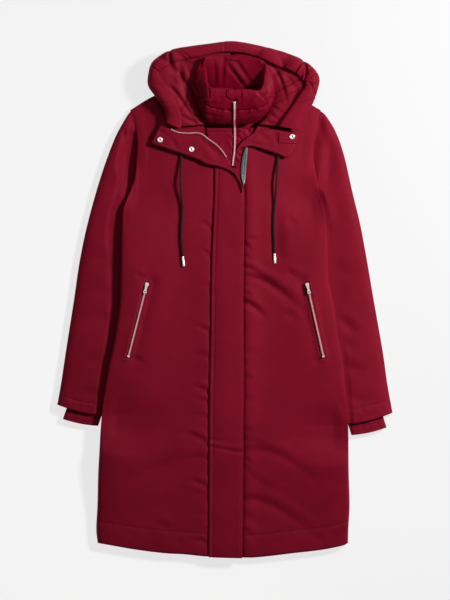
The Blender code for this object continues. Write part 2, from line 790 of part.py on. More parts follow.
def build_storm_cuff(side, name):
    """The inner cuff: a flat tube coming out of the sleeve's end."""
    tip = sleeve_plan(side, 1.0, 0.5)
    before = sleeve_plan(side, 0.96, 0.5)
    run = (tip[0] - before[0], tip[1] - before[1])
    length = math.hypot(*run)
    run = (run[0] / length, run[1] / length)
    outer = []
    inner = []
    for step in (-STORM_INSIDE, 0.0, 0.5 * STORM_OUT, STORM_OUT - 1.5, STORM_OUT):
        ring = []
        hollow = []
        slim = 0.85 if step == STORM_OUT else 1.0
        for is_top, shares in ((True, TOP_SHARES), (False, UNDER_SHARES)):
            for share in shares:
                part = blend(STORM_SHARES[0], STORM_SHARES[1], share)
                x, y = sleeve_plan(side, 1.0, part)
                centre = STORM_CENTRE
                bulge = math.sqrt(max(1.0 - abs(2.0 * share - 1.0) ** 6, 0.0))
                reach = 0.5 * STORM_THICK * slim * bulge
                flat = (x + run[0] * step, y + run[1] * step)
                ring.append((*flat, centre + (reach if is_top else -reach)))
                part = blend(STORM_SHARES[0], STORM_SHARES[1], blend(0.05, 0.95, share))
                x, y = sleeve_plan(side, 1.0, part)
                flat = (x + run[0] * step, y + run[1] * step)
                gap = 0.7 * bulge
                hollow.append((*flat, centre + (gap if is_top else -gap)))
        outer.append(ring)
        inner.append(hollow)
    open_tube(name, "shell_cloth", outer, inner)


# ---------------------------------------------------------------------- hood
def hood_row(position):
    return row_at(HOOD, position)


def rim_point(position, share, height_share, drop=0.0):
    """A point of the hood's rim: share 0 outer to 1 inner edge."""
    row = hood_row(position)
    x = blend(row.outer_x, row.inner_x, share)
    y = blend(row.outer_y, row.inner_y, share)
    return (x, y, blend(row.foot, row.crest, height_share) - drop)


RimProfile = namedtuple("RimProfile", "share height drop")
RIM_PROFILE = (
    RimProfile(0.07, 0.0, 0.0),
    RimProfile(0.0, 0.3, 0.0),
    RimProfile(0.03, 0.62, 0.0),
    RimProfile(0.16, 0.88, 0.0),
    RimProfile(0.40, 1.0, 0.0),
    RimProfile(0.70, 1.0, 1.0),
    RimProfile(0.92, 1.0, 3.5),
    RimProfile(1.0, 1.0, 6.5),
    RimProfile(0.93, 1.0, 9.5),
    RimProfile(0.70, 1.0, 8.6),
    RimProfile(0.47, 1.0, 8.4),
    RimProfile(0.34, 0.62, 0.0),
    RimProfile(0.29, 0.3, 0.0),
    RimProfile(0.30, 0.0, 0.0),
)
RIM_RINGS = 35

RimCrease = namedtuple("RimCrease", "position width depth")
RIM_CREASES = (
    RimCrease(6.4, 0.22, 6.0),
    RimCrease(7.2, 0.2, 3.5),
    RimCrease(11.2, 0.25, 3.5),
    RimCrease(12.5, 0.35, 5.5),
    RimCrease(14.4, 0.25, 6.0),
    RimCrease(16.4, 0.3, 3.5),
)


def rim_crease(position):
    return sum(c.depth * math.exp(-((position - c.position) / c.width) ** 2)
               for c in RIM_CREASES)


def build_rim():
    rings = []
    last = len(HOOD) - 1
    for k in range(RIM_RINGS):
        position = last * k / (RIM_RINGS - 1)
        crease = rim_crease(position)
        ring = []
        for spot in RIM_PROFILE:
            x, y, z = rim_point(position, spot.share, spot.height, spot.drop)
            ring.append((x, y, z - crease * spot.height))
        rings.append(ring)
    swept_ring("hood_rim", "shell_cloth", rings)


ShellProfile = namedtuple("ShellProfile", "inward height flat_share")
SHELL_OUTER = (
    ShellProfile(2.4, 1.0, 0.0),
    ShellProfile(0.4, 0.6, 0.0),
    ShellProfile(3.5, 0.2, 0.0),
    ShellProfile(12.0, 0.0, 0.0),
    ShellProfile(12.0, 0.0, 0.33),
    ShellProfile(12.0, 0.0, 0.66),
    ShellProfile(12.0, 0.0, 1.0),
)
SHELL_INNER_RISE = (0.0, 0.0, 5.0, 7.0, 7.0, 7.0, 7.0)
SHELL_INNER_IN = (7.0, 7.0, 6.5, 3.5, 2.0, 1.0, 0.0)


def neck_spot(position):
    """Where a spoke of the outer hood ends, just above the shoulder line."""
    share = (position - SHELL_FIRST_ROW) / (SHELL_LAST_ROW - SHELL_FIRST_ROW)
    x = blend(-146.0, 163.0, share)
    return x, top_y(x, "back_y") + 2.0


def shell_point(position, spot, rise, extra):
    row = hood_row(position)
    end = neck_spot(position)
    run = (end[0] - row.outer_x, end[1] - row.outer_y)
    length = math.hypot(*run)
    inward = min(spot.inward + extra, 0.8 * length)
    reach = blend(inward, length, spot.flat_share)
    x = row.outer_x + run[0] / length * reach
    y = row.outer_y + run[1] / length * reach
    return (x, y, (row.foot - SEAM_GAP) * spot.height + rise)


def build_shell_panel(name, start, end, count):
    outer = []
    inner = []
    for k in range(count):
        position = blend(start, end, k / (count - 1))
        outer.append([shell_point(position, spot, 0.0, 0.0) for spot in SHELL_OUTER])
        inner.append([shell_point(position, spot, rise, extra)
                      for spot, rise, extra in
                      zip(SHELL_OUTER, SHELL_INNER_RISE, SHELL_INNER_IN)])

    def rim(i, j):
        a = outer[i][j]
        b = inner[i][j]
        return tuple(0.5 * (a[c] + b[c]) for c in range(3))

    points, faces = closed_sheet(inner, outer, rim)
    add_body(name, points, faces, "shell_cloth")


def collar_row(position):
    return row_at(COLLAR, position)


LINING_ROWS = 6
LINING_DROP = 12.6          # its start, below the rim's crest
LINING_SAG = 3.0
LINING_FOOT_OUT = 6.0       # its end, outside the collar's seam


def build_lining(name, hood_span, collar_span, count):
    """Hood lining from under the rim's inner edge down to the collar seam."""
    top = []
    under = []
    for k in range(count):
        share = k / (count - 1)
        row = hood_row(blend(hood_span[0], hood_span[1], share))
        foot = collar_row(blend(collar_span[0], collar_span[1], share))
        out = (foot.base_x - NECK_MIDDLE[0], foot.base_y - NECK_MIDDLE[1])
        stretch = LINING_FOOT_OUT / math.hypot(*out)
        end = (foot.base_x + out[0] * stretch, foot.base_y + out[1] * stretch)
        start = (blend(row.outer_x, row.inner_x, 0.8), blend(row.outer_y, row.inner_y, 0.8))
        high = row.crest - LINING_DROP
        high -= rim_crease(blend(hood_span[0], hood_span[1], share))
        low = max(foot.base_z - 4.0, 14.0)
        line = []
        below = []
        for j in range(LINING_ROWS):
            part = j / (LINING_ROWS - 1)
            sag = LINING_SAG * math.sin(math.pi * part)
            z = blend(high, low, part) - sag
            x = blend(start[0], end[0], part)
            y = blend(start[1], end[1], part)
            if y < top_y(x, "front_y") + 12.0:
                z = max(z, front_level(x, y) + LINING_THICK + LAY_GAP)
            line.append((x, y, z))
            below.append((x, y, z - LINING_THICK))
        top.append(line)
        under.append(below)

    def rim(i, j):
        a = top[i][j]
        b = under[i][j]
        return tuple(0.5 * (a[c] + b[c]) for c in range(3))

    points, faces = closed_sheet(top, under, rim)
    add_body(name, points, faces, "lining_cloth")


def build_hood():
    build_rim()
    gap = 0.012
    build_shell_panel("hood_side_r", SHELL_FIRST_ROW, CENTRE_FIRST_ROW - gap, 11)
    build_shell_panel("hood_centre", CENTRE_FIRST_ROW + gap, CENTRE_LAST_ROW - gap, 9)
    build_shell_panel("hood_side_l", CENTRE_LAST_ROW + gap, SHELL_LAST_ROW, 12)
    build_lining("hood_lining_r", (0.05, 10.0), (2.0, 7.95), 13)
    build_lining("hood_lining_l", (10.1, 20.95), (8.05, 14.0), 13)


# -------------------------------------------------------------- inner collar
COLLAR_STEPS = 27
COLLAR_RISES = (0.0, 0.1, 0.25, 0.4, 0.51, 0.62, 0.77, 0.92, 1.0)


def collar_surface(position, rise):
    """Outer face of the inner collar; rise 0 at its seam to 1 at its top edge."""
    row = collar_row(position)
    x = blend(row.base_x, row.top_x, rise)
    y = blend(row.base_y, row.top_y, rise)
    z = blend(row.base_z, row.top_z, math.sin(0.5 * math.pi * rise) ** 0.9)
    before = collar_row(max(position - 0.4, 0.0))
    after = collar_row(min(position + 0.4, len(COLLAR) - 1.0))
    run = (blend(after.base_x, after.top_x, rise) - blend(before.base_x, before.top_x, rise),
           blend(after.base_y, after.top_y, rise) - blend(before.base_y, before.top_y, rise))
    size = math.hypot(*run)
    out = (-run[1] / size, run[0] / size)
    push = row.belly * math.sin(math.pi * rise) ** COLLAR_BELLY_POWER
    return np.array((x + out[0] * push, y + out[1] * push, z))


def collar_normal(position, rise):
    last = len(COLLAR) - 1.0
    a = collar_surface(max(position - 0.15, 0.0), rise)
    b = collar_surface(min(position + 0.15, last), rise)
    c = collar_surface(position, max(rise - 0.05, 0.0))
    d = collar_surface(position, min(rise + 0.05, 1.0))
    normal = np.cross(d - c, b - a)
    return normal / np.linalg.norm(normal)


def quilt_puff(rise):
    return QUILT_RISE * abs(math.sin(2.0 * math.pi * rise * 0.98)) ** 0.6


def collar_outer(position, rise, out=0.0):
    normal = collar_normal(position, rise)
    return collar_surface(position, rise) + normal * (quilt_puff(rise) + out)


def build_collar():
    last = len(COLLAR) - 1.0
    outer = []
    inner = []
    for k in range(COLLAR_STEPS):
        position = last * k / (COLLAR_STEPS - 1)
        outer.append([tuple(collar_outer(position, rise)) for rise in COLLAR_RISES])
        inner.append([tuple(collar_surface(position, rise)
                            - collar_normal(position, rise) * COLLAR_WALL)
                      for rise in COLLAR_RISES])

    def rim(i, j):
        a = outer[i][j]
        b = inner[i][j]
        return tuple(0.5 * (a[c] + b[c]) for c in range(3))

    points, faces = closed_sheet(outer, inner, rim)
    add_body("inner_collar", points, faces, "nylon_cloth")


# ---------------------------------------------------------------- bib, lapel
BIB_Y = column(BIB, "y")


def bib_under(x, y):
    return front_level(x, y) + LAY_GAP


def bib_top(x, y):
    return bib_under(x, y) + BIB_THICK


def build_bibs():
    def place(u, v, names, gaps):
        y = blend(BIB_Y[0], BIB_Y[-1], v)
        a = smooth_value(y, BIB_Y, column(BIB, names[0])) + gaps[0]
        b = smooth_value(y, BIB_Y, column(BIB, names[1])) + gaps[1]
        return blend(a, b, u), y

    flat_sheet("bib_r", "nylon_cloth",
               lambda u, v: place(u, v, ("right_x", "zip_x"), (0.0, -1.0)),
               bib_top, bib_under, (4, 5), (40.0, 80.0), 2.0, 1.0)
    flat_sheet("bib_l", "nylon_cloth",
               lambda u, v: place(u, v, ("zip_x", "left_x"), (1.0, 0.0)),
               bib_top, bib_under, (4, 5), (30.0, 80.0), 2.0, 1.0)


def strip_place(rows, u, v):
    row = row_at(rows, u * (len(rows) - 1))
    return blend(row.low_x, row.high_x, v), blend(row.low_y, row.high_y, v)


def lapel_under(x, y):
    return front_level(x, y) + LAPEL_LIFT


def lapel_top(x, y):
    return lapel_under(x, y) + LAPEL_THICK


def build_lapels():
    flat_sheet("lapel_r", "shell_cloth",
               lambda u, v: strip_place(LAPEL_RIGHT, u, v),
               lapel_top, lapel_under, (15, 3), (230.0, 42.0), 3.5, 1.5)
    flat_sheet("lapel_l", "shell_cloth",
               lambda u, v: strip_place(LAPEL_LEFT, u, v),
               lapel_top, lapel_under, (11, 3), (135.0, 40.0), 3.5, 1.5)


# ---------------------------------------------------------------- small parts
Frame = namedtuple("Frame", "origin across along up")


def frame_on(origin, along, up=(0.0, 0.0, 1.0)):
    """A right-handed frame at a point, its Y along a zip and its Z outwards."""
    y_axis = np.array(along, float)
    y_axis /= np.linalg.norm(y_axis)
    x_axis = np.cross(y_axis, np.array(up, float))
    x_axis /= np.linalg.norm(x_axis)
    return Frame(np.array(origin, float), x_axis, y_axis, np.cross(x_axis, y_axis))


def in_frame(frame, point):
    spot = (frame.origin + frame.across * point[0] + frame.along * point[1]
            + frame.up * point[2])
    return tuple(float(value) for value in spot)


def chain(name, material, path, ups, width, thick):
    """A flat chain along a path, lying square to the given up directions."""
    rings = []
    half = 0.5 * width
    for k, spot in enumerate(path):
        before = np.array(path[max(k - 1, 0)])
        after = np.array(path[min(k + 1, len(path) - 1)])
        frame = frame_on(spot, after - before, ups[k])
        section = ((-half, 0.0), (half, 0.0), (half, 0.55 * thick),
                   (0.6 * half, thick), (-0.6 * half, thick), (-half, 0.55 * thick))
        rings.append([in_frame(frame, (x, 0.0, z)) for x, z in section])
    swept_ring(name, material, rings)


def plate(name, material, frame, outline, low, high, origin=None):
    """A plate with a bevelled top from an outline of its right half, end to end."""
    full = list(outline) + [(-x, y) for x, y in outline[::-1]]
    middle = 0.5 * (outline[0][1] + outline[-1][1])
    shrink = 0.9
    rings = []
    for z, scale in ((low, 1.0), (blend(low, high, 0.65), 1.0), (high, shrink)):
        rings.append([in_frame(frame, (x * scale, middle + (y - middle) * scale, z))
                      for x, y in full])
    spot = (0.0, 0.0, 0.0) if origin is None else origin
    return swept_ring_at(name, material, rings, spot)


def swept_ring_at(name, material, rings, origin):
    body = swept_ring(name, material, rings)
    if any(origin):
        for vertex in body.data.vertices:
            for i in range(3):
                vertex.co[i] -= origin[i] * MM
        body.location = tuple(value * MM for value in origin)
    return body


def cutter_box(name, frame, low, high):
    """A hidden box in a frame, from its low to its high corner."""
    rings = []
    for y in (low[1], high[1]):
        rings.append([in_frame(frame, (low[0], y, low[2])),
                      in_frame(frame, (high[0], y, low[2])),
                      in_frame(frame, (high[0], y, high[2])),
                      in_frame(frame, (low[0], y, high[2]))])
    body = swept_ring(name, "nickel", rings)
    body.hide_render = True
    body.display_type = "WIRE"
    return body


def combine(body, tool, operation):
    step = body.modifiers.new(tool.name, "BOOLEAN")
    step.operation = operation
    step.solver = "EXACT"
    step.object = tool


SLIDER_LENGTH = 11.0
SLIDER_WIDTH = 8.2
SLIDER_PLATE = 2.0
HINGE_RISE = 1.5            # hinge axis above the slider's plate
PULL_THICK = 1.2
PULL_LENGTH = 18.0
INNER_SCALE = 0.72          # the inner zip's slider is smaller
HINGES = {}                 # each pull's hinge: a point on it and its direction

SLIDER_OUTLINE = ((0.5, -5.5), (0.95, -4.4), (1.0, -1.5), (0.82, 2.5), (0.7, 5.0), (0.4, 5.5))
PULL_OUTLINE = ((0.42, -0.7), (0.5, 0.2), (0.46, 4.8), (0.34, 6.4), (0.34, 9.0),
                (0.5, 13.0), (0.56, 16.6), (0.4, 18.0))
PULL_WIDTH = 6.4


def build_slider(side_name, frame, scale):
    """A zip slider with its bridge, and the pull tab that swings on it."""
    half = 0.5 * SLIDER_WIDTH
    outline = [(x * half * scale, y * scale) for x, y in SLIDER_OUTLINE]
    top = SLIDER_PLATE * scale
    slider = plate(f"{side_name}_slider", "nickel", frame, outline, 0.0, top)
    axis_z = top + HINGE_RISE * scale
    bridge = []
    for y, z in ((-3.1, -1.9), (-3.0, 0.9), (-2.2, 2.2), (2.2, 2.2), (3.0, 0.9), (3.1, -1.9),
                 (1.6, -1.9), (1.6, 0.7), (1.2, 1.2), (-1.2, 1.2), (-1.6, 0.7), (-1.6, -1.9)):
        bridge.append((y * scale, axis_z + z * scale))
    rings = []
    for x in (-0.8 * scale, 0.8 * scale):
        rings.append([in_frame(frame, (x, y, z)) for y, z in bridge])
    arch = bar_from_outline(f"{side_name}_bridge_tool", rings)
    combine(slider, arch, "UNION")
    origin = in_frame(frame, (0.0, 0.0, axis_z))
    HINGES[f"{side_name}_pull"] = (origin, tuple(float(value) for value in frame.across))
    outline = [(x * PULL_WIDTH * scale, y * scale) for x, y in PULL_OUTLINE]
    low = axis_z - 0.5 * PULL_THICK * scale
    pull = plate(f"{side_name}_pull", "nickel", frame, outline, low,
                 low + PULL_THICK * scale, origin)
    window = cutter_box(f"{side_name}_window_tool", frame,
                        (-1.35 * scale, 0.75 * scale, low - 2.0),
                        (1.35 * scale, 4.3 * scale, low + 4.0))
    hole = cutter_box(f"{side_name}_hole_tool", frame,
                      (-1.3 * scale, 13.2 * scale, low - 2.0),
                      (1.3 * scale, 16.0 * scale, low + 4.0))
    combine(pull, window, "DIFFERENCE")
    combine(pull, hole, "DIFFERENCE")


def bar_from_outline(name, rings):
    """A bar between two outlines that aren't convex."""
    count = len(rings[0])
    points = [p for ring in rings for p in ring]
    faces = [tuple(range(count)), tuple(range(2 * count - 1, count - 1, -1))]
    for i in range(count):
        j = (i + 1) % count
        faces.append((i, i + count, j + count, j))
    body = add_body(name, points, faces, "nickel")
    body.hide_render = True
    body.display_type = "WIRE"
    return body


PocketZip = namedtuple("PocketZip", "top_x top_y end_x end_y")
POCKETS = {"r": PocketZip(-162.8, 35.3, -202.1, -119.5),
           "l": PocketZip(171.6, 34.5, 206.2, -119.5)}
POCKET_STEPS = 11


def chain_height(x, y):
    return front_level(x, y) - 0.6 * fold_depth(x, y) + 1.1


def build_pocket(side, zip_row):
    path = []
    for k in range(POCKET_STEPS):
        share = k / (POCKET_STEPS - 1)
        x = blend(zip_row.top_x, zip_row.end_x, share)
        y = blend(zip_row.top_y, zip_row.end_y, share)
        path.append((x, y, chain_height(x, y)))
    name = f"pocket_zip_{side}"
    chain(name, "nickel", path, [(0.0, 0.0, 1.0)] * POCKET_STEPS, CHAIN_WIDTH, CHAIN_THICK)
    run = np.array((zip_row.end_x - zip_row.top_x, zip_row.end_y - zip_row.top_y))
    run /= np.linalg.norm(run)
    spot = np.array((zip_row.top_x, zip_row.top_y)) + run * (0.5 * SLIDER_LENGTH - 1.5)
    ahead = spot + run * 8.0
    behind = spot - run * 8.0
    slope = (chain_height(*ahead) - chain_height(*behind)) / 16.0
    lift = CHAIN_THICK + 0.5
    frame = frame_on((spot[0], spot[1], chain_height(*spot) + lift), (run[0], run[1], slope))
    build_slider(f"pocket_{side}", frame, 1.0)
    stop = np.array((zip_row.end_x, zip_row.end_y)) - run * 1.5
    frame = frame_on((stop[0], stop[1], chain_height(*stop) + CHAIN_THICK + 0.35),
                     (run[0], run[1], 0.0))
    plate(f"pocket_stop_{side}", "nickel", frame, ((2.0, -1.6), (3.1, -1.0), (3.1, 1.0),
                                                   (2.0, 1.6)), 0.0, 1.4)


INNER_ZIP_TOP_RISE = 0.64


def collar_front(rise, out):
    """Point between the inner collar's two front edges, out from its face."""
    a = collar_outer(0.0, rise, out)
    b = collar_outer(len(COLLAR) - 1.0, rise, out)
    return 0.5 * (a + b)


def build_inner_zip():
    path = []
    ups = []
    for rise in (0.62, 0.52, 0.42, 0.32, 0.22, 0.12, 0.04):
        path.append(tuple(collar_front(rise, 1.0)))
        ups.append(tuple(collar_normal(0.0, rise) + collar_normal(len(COLLAR) - 1.0, rise)))
    for y in (361.0, 350.0, 335.0, 320.0, 306.0, 293.0, 281.0):
        x = smooth_value(y, BIB_Y, column(BIB, "zip_x"))
        extra = 2.2 if y > 360.0 else 0.7
        path.append((x, y, bib_top(x, y) + extra))
        ups.append((0.0, 0.0, 1.0))
    chain("inner_zip", "nickel", path, ups, INNER_CHAIN_WIDTH, 1.6)
    spot = collar_front(INNER_ZIP_TOP_RISE, 1.0 + 1.6 + 0.5)
    below = collar_front(INNER_ZIP_TOP_RISE - 0.1, 3.1)
    up = collar_normal(0.0, INNER_ZIP_TOP_RISE) + collar_normal(16.0, INNER_ZIP_TOP_RISE)
    frame = frame_on(tuple(spot), tuple(below - spot), tuple(up))
    build_slider("inner", frame, INNER_SCALE)


def front_spot(x, rise, out):
    """A point over the collar's front at a given X."""
    right = COLLAR[0].base_x
    left = COLLAR[-1].base_x
    last = len(COLLAR) - 1.0
    if x <= right:
        return collar_outer((right - x) / 28.0, rise, out)
    if x >= left:
        return collar_outer(last - (x - left) / 22.0, rise, out)
    share = (x - right) / (left - right)
    return (1 - share) * collar_outer(0.0, rise, out) + share * collar_outer(last, rise, out)


def sheet_between(name, material, inside, outside):
    """A closed sheet from two grids of points."""
    def rim(i, j):
        a = outside[i][j]
        b = inside[i][j]
        return tuple(0.5 * (a[c] + b[c]) for c in range(3))

    points, faces = closed_sheet(outside, inside, rim)
    add_body(name, points, faces, material)


def build_chin_guard():
    inside = []
    outside = []
    for k in range(7):
        share = k / 6.0
        x = blend(3.0, 32.0, share)
        low = 0.80 - 0.07 * math.sin(math.pi * min(share * 1.15, 1.0))
        column_in = []
        column_out = []
        for j in range(5):
            rise = blend(low, 0.97, j / 4.0)
            column_in.append(tuple(front_spot(x, rise, 1.0)))
            column_out.append(tuple(front_spot(x, rise, 3.4)))
        inside.append(column_in)
        outside.append(column_out)
    sheet_between("chin_guard", "nylon_cloth", inside, outside)


def build_hanger_loop():
    inside = []
    outside = []
    for k in range(7):
        position = blend(7.62, 8.42, k / 6.0)
        arch = 1.6 * math.sin(math.pi * k / 6.0)
        column_in = []
        column_out = []
        for rise in (0.87, 0.91, 0.95):
            normal = collar_normal(position, rise)
            face = collar_surface(position, rise) - normal * COLLAR_WALL
            column_in.append(tuple(face - normal * (0.7 + arch)))
            column_out.append(tuple(face - normal * (2.0 + arch)))
        inside.append(column_in)
        outside.append(column_out)
    sheet_between("hanger_loop", "nylon_cloth", inside, outside)


GuardRow = namedtuple("GuardRow", "y right_x left_x")
GUARD = (
    GuardRow(239, 38.6, 40.0),
    GuardRow(247, 36.2, 42.0),
    GuardRow(258, 33.2, 43.2),
    GuardRow(276, 33.2, 44.6),
    GuardRow(294, 35.5, 46.4),
    GuardRow(310, 39.0, 47.4),
    GuardRow(322, 42.5, 47.4),
)
GUARD_Y = column(GUARD, "y")


def build_zip_guard():
    def place(u, v):
        y = blend(GUARD_Y[0], GUARD_Y[-1], v)
        a = smooth_value(y, GUARD_Y, column(GUARD, "right_x"))
        b = smooth_value(y, GUARD_Y, column(GUARD, "left_x"))
        return blend(a, b, u), y

    flat_sheet("zip_guard", "guard_grey", place,
               lambda x, y: front_level(x, y) + LAY_GAP + 2.4,
               lambda x, y: front_level(x, y) + LAY_GAP,
               (2, 7), (10.0, 83.0), 1.5, 0.8)


ZIP_EDGE_STEPS = 14


def build_zip_edge():
    path = []
    for k in range(ZIP_EDGE_STEPS):
        u = blend(0.11, 0.72, k / (ZIP_EDGE_STEPS - 1))
        x, y = strip_place(LAPEL_RIGHT, u, 0.94)
        path.append((x, y, lapel_top(x, y) + 0.5))
    chain("zip_edge", "nickel", path, [(0.0, 0.0, 1.0)] * ZIP_EDGE_STEPS, 3.2, 1.4)


TAB_CORNERS = ((112.0, 329.0), (150.0, 327.5), (151.0, 346.5), (113.0, 352.5))
TAB_THICK = 1.6
TAB_LIFT = 0.6


def build_tab():
    def place(u, v):
        a, b, c, d = TAB_CORNERS
        x = blend(blend(a[0], b[0], u), blend(d[0], c[0], u), v)
        y = blend(blend(a[1], b[1], u), blend(d[1], c[1], u), v)
        return x, y

    flat_sheet("lapel_tab", "shell_cloth", place,
               lambda x, y: lapel_top(x, y) + TAB_LIFT + TAB_THICK,
               lambda x, y: lapel_top(x, y) + TAB_LIFT, (3, 2), (38.0, 22.0), 1.2, 0.6)


SnapSpot = namedtuple("SnapSpot", "name x y over")
SNAPS = (
    SnapSpot("snap_r1", -135.7, 335.5, 0.5),
    SnapSpot("snap_r2", -69.9, 315.5, 0.5),
    SnapSpot("snap_l1", 140.7, 342.0, TAB_LIFT + TAB_THICK + 0.8),
)
SnapRing = namedtuple("SnapRing", "radius height")
SNAP_PROFILE = (
    SnapRing(1.0, 0.0),
    SnapRing(1.0, 0.45),
    SnapRing(0.9, 0.85),
    SnapRing(0.6, 0.9),
    SnapRing(0.45, 0.45),
    SnapRing(0.2, 0.4),
)
SNAP_HEIGHT = 2.2
SNAP_SIDES = 12


def build_snaps():
    for snap in SNAPS:
        base = lapel_top(snap.x, snap.y) + snap.over
        rings = []
        for ring in SNAP_PROFILE:
            radius = 0.5 * SNAP_DIAMETER * ring.radius
            circle = []
            for k in range(SNAP_SIDES):
                turn = 2.0 * math.pi * k / SNAP_SIDES
                circle.append((snap.x + radius * math.cos(turn),
                               snap.y + radius * math.sin(turn),
                               base + SNAP_HEIGHT * ring.height))
            rings.append(circle)
        swept_ring(snap.name, "nickel", rings)


CORD_STEPS = 18


def cord_route(rows):
    """Smooth centre line of a drawcord lying on the coat's front."""
    route = []
    for k in range(CORD_STEPS):
        spot = row_at(rows, (len(rows) - 1) * k / (CORD_STEPS - 1))
        height = front_level(spot.x, spot.y) + 0.5 * CORD_DIAMETER + spot.over
        route.append((spot.x, spot.y, height))
    return route


def build_cord(name, rows):
    curve = bpy.data.curves.new(name, "CURVE")
    curve.dimensions = "3D"
    curve.bevel_depth = 0.5 * CORD_DIAMETER * MM
    curve.bevel_resolution = 3
    curve.use_fill_caps = True
    route = cord_route(rows)
    line = curve.splines.new("POLY")
    line.points.add(len(route) - 1)
    for point, spot in zip(line.points, route):
        point.co = (spot[0] * MM, spot[1] * MM, spot[2] * MM, 1.0)
    curve.materials.append(MATERIAL_OBJECTS["cord_dark"])
    body = bpy.data.objects.new(name, curve)
    bpy.context.scene.collection.objects.link(body)
    return route


AGLET_PROFILE = ((0.0, 0.86), (0.04, 1.0), (0.2, 1.0), (0.24, 0.94), (0.3, 1.0), (0.96, 1.0),
                 (1.0, 0.84))
AGLET_SIDES = 10


def build_aglet(name, route):
    end = np.array(route[-1])
    run = end - np.array(route[-2])
    run /= np.linalg.norm(run)
    frame = frame_on(end + run * 0.35, run)
    rings = []
    for share, width in AGLET_PROFILE:
        radius = 0.5 * AGLET_DIAMETER * width
        circle = []
        for k in range(AGLET_SIDES):
            turn = 2.0 * math.pi * k / AGLET_SIDES
            circle.append(in_frame(frame, (radius * math.cos(turn), share * AGLET_LENGTH,
                                           radius * math.sin(turn))))
        rings.append(circle)
    swept_ring(name, "nickel", rings)


# --------------------------------------------------------------------- build
for leftover in list(bpy.data.objects):
    bpy.data.objects.remove(leftover, do_unlink=True)

MATERIAL_OBJECTS = {name: make_material(name) for name in MATERIALS}

build_body()
build_placket()
build_sleeve(-1, "sleeve_r")
build_sleeve(1, "sleeve_l")
build_storm_cuff(-1, "storm_cuff_r")
build_storm_cuff(1, "storm_cuff_l")
build_hood()
build_collar()
build_bibs()
build_lapels()
build_zip_guard()
build_zip_edge()
build_tab()
build_snaps()
build_chin_guard()
build_hanger_loop()
build_inner_zip()
for wearer_side, row in POCKETS.items():
    build_pocket(wearer_side, row)
build_aglet("aglet_r", build_cord("drawcord_r", CORD_RIGHT))
build_aglet("aglet_l", build_cord("drawcord_l", CORD_LEFT))
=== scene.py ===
"""Dressed scene of a padded hooded coat laid flat: cloth, seams, zips, floor and light.

Tables are in millimetres: X across (the wearer's right is at -X), Y up the
coat towards the hood, Z up from the surface that it lies on.
"""
import math
from collections import namedtuple

import bmesh
import bpy
import numpy as np
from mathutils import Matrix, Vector


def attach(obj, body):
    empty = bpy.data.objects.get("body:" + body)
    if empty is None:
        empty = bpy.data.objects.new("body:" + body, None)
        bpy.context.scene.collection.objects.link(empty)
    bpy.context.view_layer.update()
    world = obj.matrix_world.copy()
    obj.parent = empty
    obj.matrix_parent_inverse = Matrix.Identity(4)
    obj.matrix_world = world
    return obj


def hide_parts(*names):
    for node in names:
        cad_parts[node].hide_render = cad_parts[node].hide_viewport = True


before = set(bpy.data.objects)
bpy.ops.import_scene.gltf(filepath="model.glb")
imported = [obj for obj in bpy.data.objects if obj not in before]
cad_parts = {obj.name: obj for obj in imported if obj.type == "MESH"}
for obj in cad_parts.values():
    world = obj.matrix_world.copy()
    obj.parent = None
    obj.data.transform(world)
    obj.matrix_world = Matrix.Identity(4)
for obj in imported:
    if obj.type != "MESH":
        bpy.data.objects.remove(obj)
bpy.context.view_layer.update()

MM = 0.001
BODY_NAME = "coat"
SEAM_GAP = 0.3
LAY_GAP = 0.6
BACK_THICK = 9.0
SIDE_THICK = 6.5
FRONT_SIDE_RISE = 6.0
FRONT_MID_RISE = 14.5
FRONT_LEAST = 4.0
EDGE_ROUND = 8.0
HEM_FALL = 3.0
HEM_FALL_WIDTH = 24.0
SHOULDER_FALL = 7.0
SHOULDER_FALL_WIDTH = 26.0
CENTRE_X = 6.0
PLACKET_THICK = 5.0
PLACKET_SEAM_THICK = 3.2
BIB_THICK = 5.0
LAPEL_LIFT = 6.6
LAPEL_THICK = 6.0
SLEEVE_THICK = 21.0
SLEEVE_LIFT = 21.0
LIFT_RUN = 62.0
LIFT_START = 36.0
LIFT_TOP_Y = 318.0
LIFT_FULL_Y = 200.0
LIFT_END_BELOW = 90.0
LIFT_END_RUN = 70.0
SLEEVE_CLEAR = 2.4
CUFF_SLIT = 5.4
STORM_THICK = 9.0
STORM_CENTRE = 10.3
COLLAR_WALL = 6.5
COLLAR_BELLY_POWER = 0.85
QUILT_RISE = 2.4
LINING_THICK = 5.0
CORD_DIAMETER = 4.8
AGLET_LENGTH = 21.0
AGLET_DIAMETER = 6.0
SNAP_DIAMETER = 11.6


def rows_of(kind, *rows):
    """Rows of one kind, with their values named."""
    return tuple(kind(*row) for row in rows)


Level = namedtuple("Level", "y right_edge left_edge")
BODY = rows_of(                 # the body's side edges, hem to shoulder
    Level,
    (-510, -268, 259), (-483, -271, 259.5), (-433, -268.5, 262), (-363, -266.5, 260),
    (-313, -263.5, 259), (-250, -259, 257.5), (-185, -252, 252.5), (-132, -242.5, 247.5),
    (-84, -232, 238.5), (-10, -221, 228.5), (42, -219, 218), (105, -218, 216),
    (153, -216.5, 212.5), (189, -213.5, 205), (210, -206, 200.5), (232, -197.5, 196.5),
    (256, -191, 193.5), (300, -187, 188), (336, -186.5, 190.5), (376, -194, 200),
    (399, -199.5, 201.5),
)

HemPoint = namedtuple("HemPoint", "x y")
HEM = rows_of(
    HemPoint,
    (-268, -511), (-233, -517), (-193, -524), (-131, -532), (-82, -535), (-42, -539),
    (31, -541.5), (67, -541), (146, -532), (205, -525), (249, -516), (259, -511),
)

